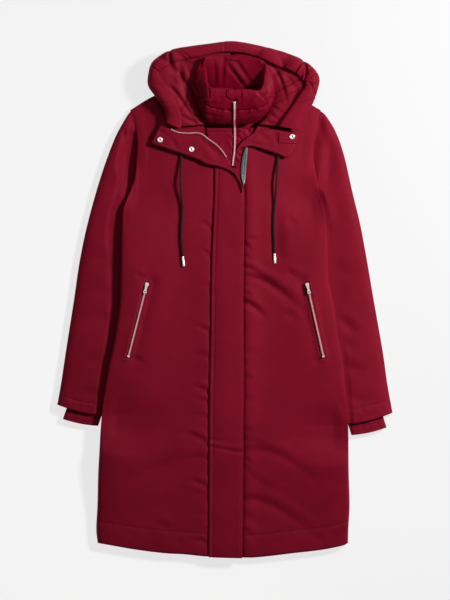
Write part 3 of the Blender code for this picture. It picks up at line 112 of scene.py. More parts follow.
TopPoint = namedtuple("TopPoint", "x back_y front_y")
TOP_LINE = rows_of(             # shoulders, back neck and front neck
    TopPoint,
    (-200, 399, 399), (-172, 417, 417), (-150, 429, 429), (-118, 440, 438), (-88, 444, 430),
    (-60, 441, 392), (-30, 436, 338), (6, 434, 292), (40, 435, 322), (75, 439, 376),
    (105, 443, 424), (135, 436, 433), (165, 420, 420), (202, 399, 399),
)

SleeveRow = namedtuple("SleeveRow", "outer_x outer_y inner_x inner_y")
SLEEVE_RIGHT = rows_of(         # distances from the coat's middle line
    SleeveRow,
    (200.2, 399, 198, 232), (209, 384, 198.5, 223), (231, 342.5, 192, 205),
    (253.5, 283.5, 182, 178), (273, 221.5, 172, 140), (293, 145.5, 166, 92),
    (307, 75.5, 166, 38), (318, 0, 173, -28), (334.5, -105, 190, -130), (345, -175, 212, -197),
    (353, -220, 235, -242),
)
SLEEVE_LEFT = rows_of(
    SleeveRow,
    (202.2, 399, 197, 232), (213, 388, 200, 223), (233.5, 353, 196, 205), (251, 303, 186, 178),
    (268.5, 226, 175, 140), (284.5, 160, 168, 94), (299, 82, 166, 38), (313, 0, 172, -30),
    (331.5, -105, 189, -135), (341.5, -175, 208, -202), (352.5, -237, 235, -262),
)

PlacketRow = namedtuple("PlacketRow", "y seam_x free_x")
PLACKET = rows_of(
    PlacketRow,
    (-541, -34.5, 35.7), (-490, -34.0, 36.0), (-210, -32.6, 38.4), (-60, -29.8, 38.4),
    (50, -28.4, 38.4), (150, -25.0, 39.5), (210, -22.5, 40.5), (285, -21.0, 37.0),
)
PLACKET_END = rows_of(          # its top edge, under the right lapel
    HemPoint,
    (-22, 289), (4, 281), (18, 271), (29, 257), (38, 234),
)

HoodRow = namedtuple("HoodRow", "outer_x outer_y inner_x inner_y foot crest")
HOOD = rows_of(                 # clockwise from the right lapel's seam
    HoodRow,
    (-124, 370, -92, 358, 37.6, 47), (-124, 392, -90, 380, 33, 49),
    (-133, 408, -96, 399, 29, 51), (-149, 430, -104, 419, 23, 52),
    (-161, 449, -119, 444, 22, 53), (-161, 472, -137, 470, 22, 54),
    (-151, 500, -125, 486, 22, 55), (-115, 523, -93, 500, 22, 56), (-75, 531, -52, 508, 22, 57),
    (-30, 537, -20, 515, 22, 58), (15, 542, 12, 517, 22, 58), (63, 534.5, 54, 512, 22, 58),
    (111, 523, 98, 493, 22, 59), (148, 510, 131, 480, 22, 60), (174, 496, 151, 470, 22, 60),
    (193, 476, 163, 457, 22, 60), (198, 459, 168, 448, 22, 60), (194, 440, 158, 432, 24, 58),
    (187, 418, 147, 415, 28, 56), (176, 396, 136, 399, 32, 54), (163, 373, 122, 380, 36, 52),
    (156, 355, 112, 363, 38.4, 50),
)
SHELL_FIRST_ROW = 4.0                       # the outer hood lies on the ground from
SHELL_LAST_ROW = 17.0                       # this row of the table to this one
CENTRE_FIRST_ROW = 8.3                      # its centre panel between these two
CENTRE_LAST_ROW = 12.0

NECK_MIDDLE = (12.0, 405.0)
CollarRow = namedtuple("CollarRow", "base_x base_y base_z top_x top_y top_z belly")
COLLAR = rows_of(               # right front edge, round the back, left
    CollarRow,
    (17.2, 368, 37, 17.5, 439, 78, 3), (-12, 368, 37, -9, 441, 79, 3),
    (-36, 371, 36, -31, 442, 79, 2), (-46, 383, 34, -38, 454, 73, 6),
    (-50, 400, 30, -39, 473, 64, 15), (-53, 415, 24, -41, 491, 57, 19),
    (-50, 427, 18, -42, 506, 60, 10), (-25, 431, 15.5, -18, 510, 55, 2),
    (12, 431, 15, 14, 511, 54, 0), (45, 430, 15.5, 47, 508, 56, 2),
    (72, 427, 19, 76, 501, 61, 8), (84, 415, 25, 83, 487, 68, 17),
    (84, 400, 30, 80, 466, 74, 19), (77, 383, 34, 78, 447, 77, 14),
    (64, 371, 36, 70, 436, 79, 5), (44, 368, 37, 48, 438, 79, 3),
    (22.8, 368, 37, 23.5, 439, 78, 3),
)

StripRow = namedtuple("StripRow", "low_x low_y high_x high_y")
LAPEL_RIGHT = rows_of(          # from the shoulder corner to the tip
    StripRow,
    (-155.5, 328, -128.5, 382), (-131, 319.5, -115, 362), (-107, 311.5, -97, 353),
    (-81, 302.5, -77, 351.5), (-55, 293, -53, 352), (-38, 284, -33, 338.5),
    (-16, 279.5, -14.5, 324), (4, 273, 1, 303), (20, 264, 10, 284), (31.5, 248.5, 24, 262),
    (38, 225, 36.5, 240),
)
LAPEL_LEFT = rows_of(
    StripRow,
    (23, 311, 26, 319), (34, 318, 38, 333), (47, 321.5, 54, 346), (60, 321.5, 69, 354.5),
    (85, 314, 90, 357.5), (112, 304.5, 115, 356.5), (131, 299, 137, 353),
    (147, 320, 154, 350.5),
)

BibRow = namedtuple("BibRow", "y right_x zip_x left_x")
BIB = rows_of(
    BibRow,
    (279, 12, 16, 26), (291, 4, 17, 31), (312, -24, 20, 36.5), (340, -36, 21, 52),
    (361, -40, 20.5, 61),
)

CordPoint = namedtuple("CordPoint", "x y over")
CORD_RIGHT = rows_of(
    CordPoint,
    (-91, 312, 0.6), (-91.6, 301, 0.8), (-92.8, 270, 1.5), (-92.6, 239.5, 2.5),
    (-89.5, 205, 2.0), (-89.3, 183, 1.5), (-91.6, 137, 1.2), (-90.5, 112, 0.9),
    (-88.3, 91.5, 1.3),
)
CORD_LEFT = rows_of(
    CordPoint,
    (112, 310, 0.6), (111, 296.5, 0.8), (109.5, 268, 1.5), (107.7, 239.5, 2.5),
    (104.4, 194, 2.0), (102, 160, 1.4), (102.6, 128, 1.0), (104, 98, 1.3),
)


# ---------------------------------------------------------------- small tools
def step_smooth(value):
    value = np.clip(value, 0.0, 1.0)
    return value * value * (3.0 - 2.0 * value)


def mix(a, b, share):
    return a + (b - a) * share


def soft_least(a, b, blend):
    """The lesser of two values, without a kink where they meet."""
    part = np.clip(0.5 + 0.5 * (b - a) / blend, 0.0, 1.0)
    return mix(b, a, part) - blend * part * (1.0 - part)


def curve(at, knots, values):
    """Smooth curve through values at rising knots, flat beyond both ends."""
    knots = np.asarray(knots, float)
    values = np.asarray(values, float)
    slopes = np.empty_like(values)
    slopes[1:-1] = (values[2:] - values[:-2]) / (knots[2:] - knots[:-2])
    slopes[0] = (values[1] - values[0]) / (knots[1] - knots[0])
    slopes[-1] = (values[-1] - values[-2]) / (knots[-1] - knots[-2])
    at = np.clip(np.asarray(at, float), knots[0], knots[-1])
    k = np.clip(np.searchsorted(knots, at) - 1, 0, len(knots) - 2)
    span = knots[k + 1] - knots[k]
    s = (at - knots[k]) / span
    return ((1 + 2 * s) * (1 - s) ** 2 * values[k] + s * (1 - s) ** 2 * span * slopes[k]
            + s * s * (3 - 2 * s) * values[k + 1] + s * s * (s - 1) * span * slopes[k + 1])


def column(rows, name):
    return [getattr(row, name) for row in rows]


def along_table(rows, position):
    """A table's columns at real positions, smooth between its rows."""
    knots = np.arange(len(rows))
    return type(rows[0])(*[curve(position, knots, [row[c] for row in rows])
                           for c in range(len(rows[0]))])


def noise(x, y, size, seed):
    """Smooth seeded noise, about -1 to 1, with features of a size in millimetres."""
    table = np.random.default_rng(seed).uniform(-1.0, 1.0, (64, 64))
    x = np.asarray(x, float) / size + 1000.0
    y = np.asarray(y, float) / size + 1000.0
    i = np.floor(x).astype(int)
    j = np.floor(y).astype(int)
    u = step_smooth(x - i)
    v = step_smooth(y - j)
    a = mix(table[i % 64, j % 64], table[(i + 1) % 64, j % 64], u)
    b = mix(table[i % 64, (j + 1) % 64], table[(i + 1) % 64, (j + 1) % 64], u)
    return mix(a, b, v)


def stations(length, cell, radius, step):
    """Distances along a length, close together at both rounded ends."""
    close = np.array((0.0, 0.04, 0.16, 0.38, 0.68)) * radius
    count = max(int(round((length - 2.0 * radius) / cell)), 2)
    while (2 * len(close) + count) % step:
        count += 1
    middle = np.linspace(radius, length - radius, count + 1)
    return np.concatenate((close, middle, length - close[::-1])) / length


def add_piece(name, points, faces, material, uvs=None, smooth=True):
    """A mesh piece from points in millimetres, with its cloth lengths as UVs."""
    mesh = bpy.data.meshes.new(name)
    mesh.from_pydata((np.asarray(points, float) * MM).tolist(), [], faces)
    if uvs is not None:
        layer = mesh.uv_layers.new(name="cloth")
        corner = np.empty(len(mesh.loops), int)
        mesh.loops.foreach_get("vertex_index", corner)
        layer.data.foreach_set("uv", (np.asarray(uvs)[corner] * MM).ravel())
    mesh.materials.append(MATERIALS[material])
    work = bmesh.new()
    work.from_mesh(mesh)
    bmesh.ops.recalc_face_normals(work, faces=work.faces)
    if work.calc_volume(signed=True) < 0:
        bmesh.ops.reverse_faces(work, faces=work.faces)
    work.to_mesh(mesh)
    work.free()
    if smooth:
        mesh.shade_smooth()
    piece = bpy.data.objects.new(name, mesh)
    bpy.context.scene.collection.objects.link(piece)
    return piece


def belongs(piece, slot, *nodes, body=BODY_NAME):
    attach(piece, body)
    if nodes:
        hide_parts(*nodes)
    return piece


def grid_faces(top, under, step):
    """Points and faces of a closed body from a fine grid over a coarse one.

    Both grids share the fine one's border; the coarse one has every step-th node.
    """
    across, along = top.shape[:2]
    index = np.arange(across * along).reshape(across, along)
    faces = np.stack((index[:-1, :-1], index[1:, :-1], index[1:, 1:], index[:-1, 1:]),
                     axis=-1).reshape(-1, 4).tolist()
    rows = list(range(0, across, step))
    lines = list(range(0, along, step))
    points = [top.reshape(-1, 3)]
    low = {}
    count = across * along
    extra = []
    for i in rows:
        for j in lines:
            if i in (0, across - 1) or j in (0, along - 1):
                low[i, j] = int(index[i, j])
            else:
                low[i, j] = count
                count += 1
                extra.append(under[i, j])
    points.append(np.array(extra))
    for i, i_next in zip(rows, rows[1:]):
        for j, j_next in zip(lines, lines[1:]):
            ring = [low[i, j]]
            if i == 0:
                ring += [int(v) for v in index[0, j + 1:j_next]]
            ring.append(low[i, j_next])
            if j_next == along - 1:
                ring += [int(v) for v in index[i + 1:i_next, along - 1]]
            ring.append(low[i_next, j_next])
            if i_next == across - 1:
                ring += [int(v) for v in index[across - 1, j_next - 1:j:-1]]
            ring.append(low[i_next, j])
            if j == 0:
                ring += [int(v) for v in index[i_next - 1:i:-1, 0]]
            faces.append(ring)
    return np.concatenate(points), faces, [(i, j) for i in rows for j in lines
                                           if low[i, j] >= across * along]


def lay_sheet(name, material, place, top, under, size, cell, radius=EDGE_ROUND,
              under_radius=3.0, step=3):
    """A sheet from place(u, v) in plan and its top and under heights."""
    u = stations(size[0], cell, radius, step)
    v = stations(size[1], cell, radius, step)
    uu, vv = np.meshgrid(u, v, indexing="ij")
    x, y = place(uu, vv)
    high = top(x, y)
    low = under(x, y)
    near = np.minimum(np.minimum(uu, 1 - uu) * size[0], np.minimum(vv, 1 - vv) * size[1])

    def edge(reach):
        part = np.clip(near / reach, 0.0, 1.0)
        return np.sqrt(1.0 - (1.0 - part) ** 2)

    middle = 0.5 * (high + low)
    upper = np.stack((x, y, middle + (high - middle) * edge(radius)), axis=-1)
    lower = np.stack((x, y, middle + (low - middle) * edge(under_radius)), axis=-1)
    points, faces, kept = grid_faces(upper, lower, step)
    uv = np.stack((uu * size[0], vv * size[1]), axis=-1)
    uvs = np.concatenate((uv.reshape(-1, 2), np.array([uv[i, j] for i, j in kept])))
    return add_piece(name, points, faces, material, uvs)


def shell_between(name, material, outer, inner, step=1, size=(100.0, 100.0)):
    """A closed sheet from two grids of points, joined at their middles' border."""
    outer = np.asarray(outer, float)
    inner = np.asarray(inner, float)
    border = np.zeros(outer.shape[:2], bool)
    border[[0, -1], :] = True
    border[:, [0, -1]] = True
    top = outer.copy()
    top[border] = 0.5 * (outer[border] + inner[border])
    points, faces, kept = grid_faces(top, inner, step)
    a, b = np.meshgrid(np.linspace(0, size[0], outer.shape[0]),
                       np.linspace(0, size[1], outer.shape[1]), indexing="ij")
    uv = np.stack((a, b), axis=-1)
    uvs = np.concatenate((uv.reshape(-1, 2), np.array([uv[i, j] for i, j in kept])))
    return add_piece(name, points, faces, material, uvs)


def ring_body(name, material, rings, size, capped=True):
    """Closed rings joined one after another, with n-gon ends or the last joined to the first."""
    rings = np.asarray(rings, float)
    steps, count = rings.shape[:2]
    index = np.arange(steps * count).reshape(steps, count)
    turned = np.roll(index, -1, axis=1)
    faces = np.stack((index[:-1], turned[:-1], turned[1:], index[1:]),
                     axis=-1).reshape(-1, 4).tolist()
    if capped:
        faces.append(index[0].tolist())
        faces.append(index[-1, ::-1].tolist())
    else:
        faces += np.stack((index[-1], turned[-1], turned[0], index[0]), axis=-1).tolist()
    a, b = np.meshgrid(np.linspace(0, size[0], steps), np.linspace(0, size[1], count),
                       indexing="ij")
    uvs = np.stack((a, b), axis=-1).reshape(-1, 2)
    return add_piece(name, rings.reshape(-1, 3), faces, material, uvs)


# ------------------------------------------------------------ body's heights
BODY_Y = column(BODY, "y")
INNER_LINES = {}
for which, table in ((-1, SLEEVE_RIGHT), (1, SLEEVE_LEFT)):
    table = sorted(table, key=lambda row: row.inner_y)
    INNER_LINES[which] = (column(table, "inner_y"), column(table, "inner_x"))


def body_edges(y):
    return (curve(y, BODY_Y, column(BODY, "right_edge")),
            curve(y, BODY_Y, column(BODY, "left_edge")))


def body_lift(x, y):
    """Height of the body's underside: it climbs onto the tucked sleeves."""
    total = 0.0
    for side, (ys, xs) in INNER_LINES.items():
        climb = step_smooth((np.abs(x) - curve(y, ys, xs) + LIFT_START) / LIFT_RUN)
        below = step_smooth((y - ys[0] + LIFT_END_BELOW) / LIFT_END_RUN)
        total = total + np.where(np.sign(x) == side, climb * below, 0.0)
    return SLEEVE_LIFT * total * step_smooth((LIFT_TOP_Y - y) / (LIFT_TOP_Y - LIFT_FULL_Y))


def across_share(x, y):
    right, left = body_edges(y)
    return np.clip(np.abs((x - 0.5 * (right + left)) / (0.5 * (left - right))), 0.0, 1.0)


def hem_y(x):
    return curve(x, column(HEM, "x"), column(HEM, "y"))


def top_y(x, name):
    return curve(x, column(TOP_LINE, "x"), column(TOP_LINE, name))


def back_top(x, y):
    return body_lift(x, y) + mix(BACK_THICK, SIDE_THICK, across_share(x, y) ** 6)


def front_falls(x, y):
    """How far the fronts thin out at the hem and at the shoulders."""
    fall = HEM_FALL * np.exp(-np.maximum(y - hem_y(x), 0.0) / HEM_FALL_WIDTH)
    shoulder = np.maximum(top_y(x, "back_y") - y, 0.0)
    return fall + SHOULDER_FALL * np.exp(-shoulder / SHOULDER_FALL_WIDTH)


CENTRE_SWELL = 5.0              # the cloth spans softly over the solid's middle
SWELL_SHARE = (0.35, 0.35)
SPAN_SHARE = (0.34, 0.56)
FULL_SHARE = 0.86
SIDE_POWER = 110


def front_level(x, y):
    """Top of the fronts without their folds."""
    share = across_share(x, y)
    rise = mix(FRONT_MID_RISE, FRONT_SIDE_RISE, share ** 4) - front_falls(x, y)
    swell = CENTRE_SWELL * (1.0 - step_smooth((share - SWELL_SHARE[0]) / SWELL_SHARE[1]))
    swell = swell * step_smooth((280.0 - y) / 90.0) * step_smooth((y + 430.0) / 150.0)
    return back_top(x, y) + LAY_GAP + np.maximum(rise, FRONT_LEAST) + swell


def lift_shares(y, run_below):
    """How much of the lift onto the sleeves there is at a height, on each side."""
    total = []
    for ys, _ in INNER_LINES.values():
        end = ys[0] - LIFT_END_BELOW + LIFT_END_RUN
        total.append(step_smooth((y - end + run_below) / run_below))
    high = step_smooth((LIFT_TOP_Y - y) / (LIFT_TOP_Y - LIFT_FULL_Y))
    return total[0] * high, total[1] * high


def front_bridge(x, y):
    """What the fronts' cloth adds where it spans the climb onto the sleeves."""
    share = across_share(x, y)
    right, left = body_edges(y)
    middle = 0.5 * (right + left)
    left_side = x > middle
    side_x = middle + 0.5 * (left - right) * FULL_SHARE * np.where(left_side, 1.0, -1.0)
    lifts = lift_shares(y, LIFT_END_RUN)
    lift = np.where(left_side, lifts[1], lifts[0])
    lifts = lift_shares(y, LOW_FADE)
    wide = np.where(left_side, lifts[1], lifts[0])
    ramp = step_smooth((share - SPAN_SHARE[0]) / SPAN_SHARE[1])
    centre = front_level(middle, y) + front_falls(middle, y)
    side = front_level(side_x, y) + front_falls(side_x, y)
    high = step_smooth((LIFT_TOP_Y - 10.0 - y) / 90.0)
    natural = front_level(x, y) + front_falls(x, y)
    inner = np.maximum(mix(centre, side, ramp) - natural, 0.0) * high
    outer = 3.2 * np.tanh((side - natural) / 3.2) * (1.0 - share ** SIDE_POWER)
    gap = np.where(share < FULL_SHARE, inner, outer)
    low = np.minimum(share, FULL_SHARE)
    fill = (FRONT_MID_RISE - FRONT_SIDE_RISE) * low ** 4 + (BACK_THICK - SIDE_THICK) * low ** 6
    fill = fill * (1.0 - np.maximum(lift, 1.0 - high)) * (1.0 - share ** SIDE_POWER)
    return gap + fill * step_smooth((350.0 - y) / 60.0) + SLEEVE_LIFT * (wide - lift) * ramp


LOW_FADE = 230.0                # the run over which the lift dies out below the cuffs


CHEST_FALL = 4.3                # the left front falls off beside its armhole
BACK_FALL = 3.6                 # and the back thins under it


def chest_fall(x, y):
    return CHEST_FALL * step_smooth((x - 118.0) / 70.0) * np.exp(-((y - 165.0) / 75.0) ** 2)


def back_cloth_top(x, y):
    return back_top(x, y) - BACK_FALL / CHEST_FALL * chest_fall(x, y)


def front_under(x, y):
    return back_cloth_top(x, y) + LAY_GAP


Crease = namedtuple("Crease", "x0 y0 cx cy x1 y1 width depth ridge start end")
FRONT_CREASES = rows_of(        # bent lines; ridge is on the left of their run
    Crease,
    (42, 50, 96, 46, 162, -24, 9.5, 5.5, 2.9, 0.6, 0.2),
    (42, 30, 66, 30, 96, 8, 9, 2.1, 0.8, 0.7, 0.1),
    (41, -5, 60, -10, 88, -42, 7, 4.7, 2, 0.8, 0.1),
    (41, 69, 56, 68, 74, 54, 6, 3.6, 1.5, 0.9, 0.1),
    (41, 14, 48, 14, 60, 6, 5, 2.5, 0.8, 0.9, 0.1),
    (42, 127, 58, 131, 76, 127, 5, 2, 0.7, 1, 0.1),
    (40, 119, 46, 116, 55, 99, 4.5, 2.2, 1, 1, 0.1),
    (41, 92, 48, 92, 58, 84, 4.5, 1.7, 0.6, 1, 0.1),
    (128, 58, 142, 56, 160, 40, 7, 1.9, 0.8, 0.1, 0.4),
    (128, 168, 142, 160, 157, 162, 8, 2, 0.8, 0.2, 0.1),
    (126, -28, 140, -32, 158, -46, 9, 1.7, 0.8, 0.1, 0.1),
    (42, -110, 62, -112, 84, -108, 9, 0.9, 0.4, 0.8, 0.1),
    (42, -161, 50, -162, 62, -168, 6, 1.5, 0.6, 1, 0.1),
    (42, -208, 50, -210, 64, -206, 7, 1.2, 0.5, 1, 0.1),
    (41, -272, 50, -273, 62, -282, 6, 1.2, 0.4, 1, 0.1),
    (41, -296, 60, -290, 98, -312, 7, 1.2, 0.5, 1, 0.1),
    (40, -317, 104, -300, 192, -382, 10, 2.6, 1.3, 0.9, 0.15),
    (42, -334, 48, -336, 58, -346, 4.5, 1.3, 0.5, 1, 0.1),
    (42, -354, 62, -384, 104, -394, 9, 1.2, 0.6, 0.8, 0.1),
    (40, -420, 92, -408, 202, -506, 9.5, 2.5, 1.3, 0.9, 0.3),
    (42, -452, 60, -458, 84, -478, 8, 0.8, 0.4, 0.8, 0.1),
    (41, -484, 50, -488, 66, -508, 6, 1.3, 0.5, 0.9, 0.3),
    (170, -456, 196, -440, 236, -424, 13, 0.8, 0.5, 0.2, 0.2),
    (232, -300, 214, -330, 210, -372, 14, 0.5, 0.3, 0.3, 0.1),
    (-30, 150, -40, 160, -54, 166, 5, 1.8, -0.7, 1, 0.1),
    (-30, 91, -40, 102, -52, 106, 5, 1.9, -0.7, 1, 0.1),
    (-82, 148, -100, 156, -120, 144, 9, 0.8, -0.4, 0.2, 0.1),
    (-32, 28, -44, 32, -60, 26, 7, 0.8, -0.4, 1, 0.1),
    (-34, -66, -46, -58, -64, -55, 5.5, 1.9, -0.8, 1, 0.1),
    (-34, -120, -50, -112, -72, -116, 7, 1.1, -0.5, 1, 0.1),
    (-35, -193, -50, -183, -72, -181, 5.5, 2.2, -0.9, 1, 0.1),
    (-35, -214, -48, -208, -66, -207, 5, 1.3, -0.5, 1, 0.1),
    (-36, -246, -50, -240, -70, -242, 6, 1.1, -0.5, 1, 0.1),
    (-38, -300, -66, -278, -98, -279, 6.5, 2.3, -1, 0.9, 0.1),
    (-38, -331, -66, -326, -102, -338, 8, 1.7, -0.9, 0.9, 0.3),
    (-96, -338, -160, -350, -240, -408, 15, 2.3, -1.4, 0.5, 0.2),
    (-38, -394, -54, -380, -80, -378, 6, 2.3, -1, 1, 0.1),
    (-38, -412, -60, -402, -90, -402, 8, 1, -0.5, 0.9, 0.1),
    (-90, -430, -130, -424, -190, -450, 15, 1.2, -0.8, 0.2, 0.1),
    (-112, -479, -132, -470, -156, -469, 7, 1.7, -0.7, 0.1, 0.1),
    (-38, -510, -54, -502, -76, -504, 6, 1.9, -0.8, 1, 0.2),
    (-38, -452, -52, -446, -72, -450, 7, 0.8, -0.4, 1, 0.1),
    (-196, -121, -182, -124, -166, -134, 6, 1.7, 0.7, 0.7, 0.1),
    (-187, 54, -178, 52, -168, 42, 6, 1.3, 0.6, 0.2, 0.3),
    (-198, 220, -190, 230, -182, 244, 8, 1.4, 0.6, 0.6, 0.1),
    (-194, 300, -184, 286, -176, 262, 12, 1.2, 0.6, 0.4, 0.1),
    (-140, 250, -120, 200, -126, 150, 22, 1, -0.5, 0.2, 0.1),
    (-200, -20, -150, -60, -146, -120, 24, 1, -0.5, 0.2, 0.1),
    (196, 300, 188, 284, 180, 256, 12, 1.5, -0.7, 0.5, 0.1),
    (206, -122, 190, -126, 178, -136, 6, 1.5, -0.7, 0.7, 0.1),
    (60, 210, 80, 170, 76, 120, 18, 1.1, -0.6, 0.3, 0.1),
    (150, 250, 170, 200, 190, 160, 20, 1, 0.6, 0.2, 0.1),
)
CREASE_STEPS = 12


def crease_relief(rows, x, y):
    """Height change of a table's creases at points of the plan."""
    total = np.zeros(x.shape)
    t = np.linspace(0.0, 1.0, CREASE_STEPS + 1)
    for row in rows:
        px = (1 - t) ** 2 * row.x0 + 2 * t * (1 - t) * row.cx + t * t * row.x1
        py = (1 - t) ** 2 * row.y0 + 2 * t * (1 - t) * row.cy + t * t * row.y1
        reach = 4.0 * row.width
        near = ((x > px.min() - reach) & (x < px.max() + reach)
                & (y > py.min() - reach) & (y < py.max() + reach))
        if not near.any():
            continue
        xs = x[near]
        ys = y[near]
        best = np.full(xs.shape, 1e9)
        share = np.zeros(xs.shape)
        side = np.ones(xs.shape)
        for k in range(CREASE_STEPS):
            run_x = px[k + 1] - px[k]
            run_y = py[k + 1] - py[k]
            s = ((xs - px[k]) * run_x + (ys - py[k]) * run_y) / (run_x ** 2 + run_y ** 2)
            s = np.clip(s, 0.0, 1.0)
            dx = xs - px[k] - s * run_x
            dy = ys - py[k] - s * run_y
            gap = dx * dx + dy * dy
            closer = gap < best
            best = np.where(closer, gap, best)
            share = np.where(closer, (k + s) / CREASE_STEPS, share)
            side = np.where(closer, np.sign(run_x * dy - run_y * dx), side)
        away = np.sqrt(best) * side
        strong = mix(row.start, 1.0, step_smooth(share / 0.3))
        strong = strong * mix(1.0, row.end, step_smooth((share - 0.4) / 0.6))
        ridge_side = 1.7 * row.width * np.sign(row.ridge or 1.0)
        total[near] += strong * (abs(row.ridge) * np.exp(-((away - ridge_side)
                                                           / (1.25 * row.width)) ** 2)
                                 - row.depth * np.exp(-np.abs(away / row.width) ** 1.7))
    return total


PocketZip = namedtuple("PocketZip", "top_x top_y end_x end_y")
POCKETS = {"r": PocketZip(-162.8, 35.3, -202.1, -119.5),
           "l": PocketZip(171.6, 34.5, 206.2, -119.5)}


def line_distance(x, y, ax, ay, bx, by):
    run_x = bx - ax
    run_y = by - ay
    s = np.clip(((x - ax) * run_x + (y - ay) * run_y) / (run_x ** 2 + run_y ** 2), 0.0, 1.0)
    return np.hypot(x - ax - s * run_x, y - ay - s * run_y)


def pocket_distance(x, y):
    return np.minimum(*[line_distance(x, y, *row) for row in POCKETS.values()])


def cord_distance(x, y):
    away = np.full(x.shape, 1e9)
    for rows in (CORD_RIGHT, CORD_LEFT):
        for a, b in zip(rows, rows[1:]):
            away = np.minimum(away, line_distance(x, y, a.x, a.y, b.x, b.y))
    return away


PLACKET_Y = column(PLACKET, "y")
HEM_BAND = 46.0                 # the turned hem's stitched line, above the edge


def placket_edges(y):
    return (curve(y, PLACKET_Y, column(PLACKET, "seam_x")),
            curve(y, PLACKET_Y, column(PLACKET, "free_x")))


ARMHOLE_LIP = 2.2               # the right front stands up over its armhole
FRONT_THIN = 1.2
LOW_VALLEY = 5.0                # the left front sinks towards the placket near the hem


def front_top(x, y):
    """The fronts' cloth: folds, gathers beside the placket, hem and pocket edges."""
    seam, free = placket_edges(y)
    calm = 1.0 - np.exp(-(np.minimum(cord_distance(x, y), pocket_distance(x, y)) / 16.0) ** 2)
    relief = crease_relief(FRONT_CREASES, x, y)
    relief += calm * (0.4 * noise(x, y, 75.0, 3) + 0.22 * noise(x, 1.6 * y, 31.0, 4)
                      + 0.07 * noise(x, y, 9.0, 5))
    out = seam - x
    gather = noise(y, 0.35 * out, 15.0, 6) + 0.6 * noise(y, 0.5 * out, 8.0, 7)
    relief += np.where(out > -3.0, 1.0, 0.0) * (
        0.8 * gather * np.exp(-np.clip(out, 0.0, None) / 9.0)
        - 1.6 * np.exp(-(out / 3.5) ** 2) + 0.6 * np.exp(-((out - 17.0) / 12.0) ** 2))
    out = x - free
    gather = noise(y, 0.35 * out, 17.0, 8) + 0.6 * noise(y, 0.5 * out, 9.0, 9)
    relief += np.where(out > -3.0, 1.0, 0.0) * (
        0.9 * gather * np.exp(-np.clip(out, 0.0, None) / 10.0)
        - 3.4 * np.exp(-(out / 3.4) ** 2) + 3.0 * np.exp(-((out - 13.0) / 18.0) ** 2))
    beside = np.exp(-(np.clip(out, 0.0, None) / 44.0) ** 2) * (out > -3.0)
    relief -= LOW_VALLEY * beside * step_smooth((-245.0 - y) / 60.0)
    relief -= chest_fall(x, y)
    up = y - hem_y(x)
    relief -= 0.9 * np.exp(-((up - HEM_BAND) / 3.0) ** 2)
    relief += 0.5 * noise(x, up, 14.0, 10) * np.exp(-((up - HEM_BAND + 12.0) / 22.0) ** 2)
    away = pocket_distance(x, y)
    relief += 1.0 * np.exp(-((away - 7.0) / 3.5) ** 2) - 1.6 * np.exp(-(away / 3.2) ** 2)
    under = (x > seam + 2.0) & (x < free - 2.0)
    relief = np.where(under, np.minimum(relief, 0.0), relief)
    lip = step_smooth((-x - 180.0) / 8.0) * step_smooth((y - 200.0) / 40.0)
    relief += ARMHOLE_LIP * lip * step_smooth((340.0 - y) / 60.0)
    level = front_level(x, y) + front_bridge(x, y) * calm + relief
    return np.maximum(level, front_under(x, y) + FRONT_THIN)


LOW_LEVEL = BODY[0].y
HIGH_LEVEL = BODY[-1].y
HEM_REACH = 150.0
NECK_REACH = 290.0


def body_place(u, v, edges, top_name):
    """Plan point of a body panel; the hem and the neck line bend its rows."""
    level = mix(LOW_LEVEL, HIGH_LEVEL, v)
    right, left = body_edges(level)
    ends = [right if edge == "right" else left if edge == "left" else edge for edge in edges]
    x = mix(ends[0], ends[1], u)
    low = np.clip(1.0 - (level - LOW_LEVEL) / HEM_REACH, 0.0, None) ** 2
    high = np.clip((level - HIGH_LEVEL + NECK_REACH) / NECK_REACH, 0.0, None) ** 2
    y = level + (hem_y(x) - LOW_LEVEL) * low + (top_y(x, top_name) - HIGH_LEVEL) * high
    return x, y


def back_place(u, v):
    right = body_place(2.0 * u, v, ("right", CENTRE_X - SEAM_GAP), "back_y")
    left = body_place(2.0 * u - 1.0, v, (CENTRE_X + SEAM_GAP, "left"), "back_y")
    return np.where(u < 0.5, right[0], left[0]), np.where(u < 0.5, right[1], left[1])


FRONT_CELL = 2.5
FRONT_ROUND = 3.6


def build_body():
    length = HIGH_LEVEL - LOW_LEVEL
    back = lay_sheet("back_cloth", "shell", back_place, back_cloth_top, body_lift,
                     (460.0, length), 5.0)
    belongs(back, "shell_cloth", "back_panel")
    for side, name in (("right", "front_r"), ("left", "front_l")):
        if side == "right":
            ends = ("right", CENTRE_X - SEAM_GAP)
        else:
            ends = (CENTRE_X + SEAM_GAP, "left")
        front = lay_sheet(f"{name}_cloth", "shell",
                          lambda u, v, ends=ends: body_place(u, v, ends, "front_y"),
                          front_top, front_under, (230.0, length), FRONT_CELL,
                          FRONT_ROUND)
        belongs(front, "shell_cloth", name)


# ------------------------------------------------------------------- placket
def placket_place(u, v):
    seam, free = placket_edges(mix(PLACKET_Y[0], PLACKET_Y[-1], v))
    x = mix(seam, free, u)
    end = curve(x, column(PLACKET_END, "x"), column(PLACKET_END, "y"))
    return x, mix(hem_y(x) - 0.5, end, v)


def placket_under(x, y):
    return front_level(x, y) + LAY_GAP


PLACKET_STITCH = 7.0            # its stitched line from the seam, and
PLACKET_EDGE_STITCH = 4.5       # the faint one inside its free edge


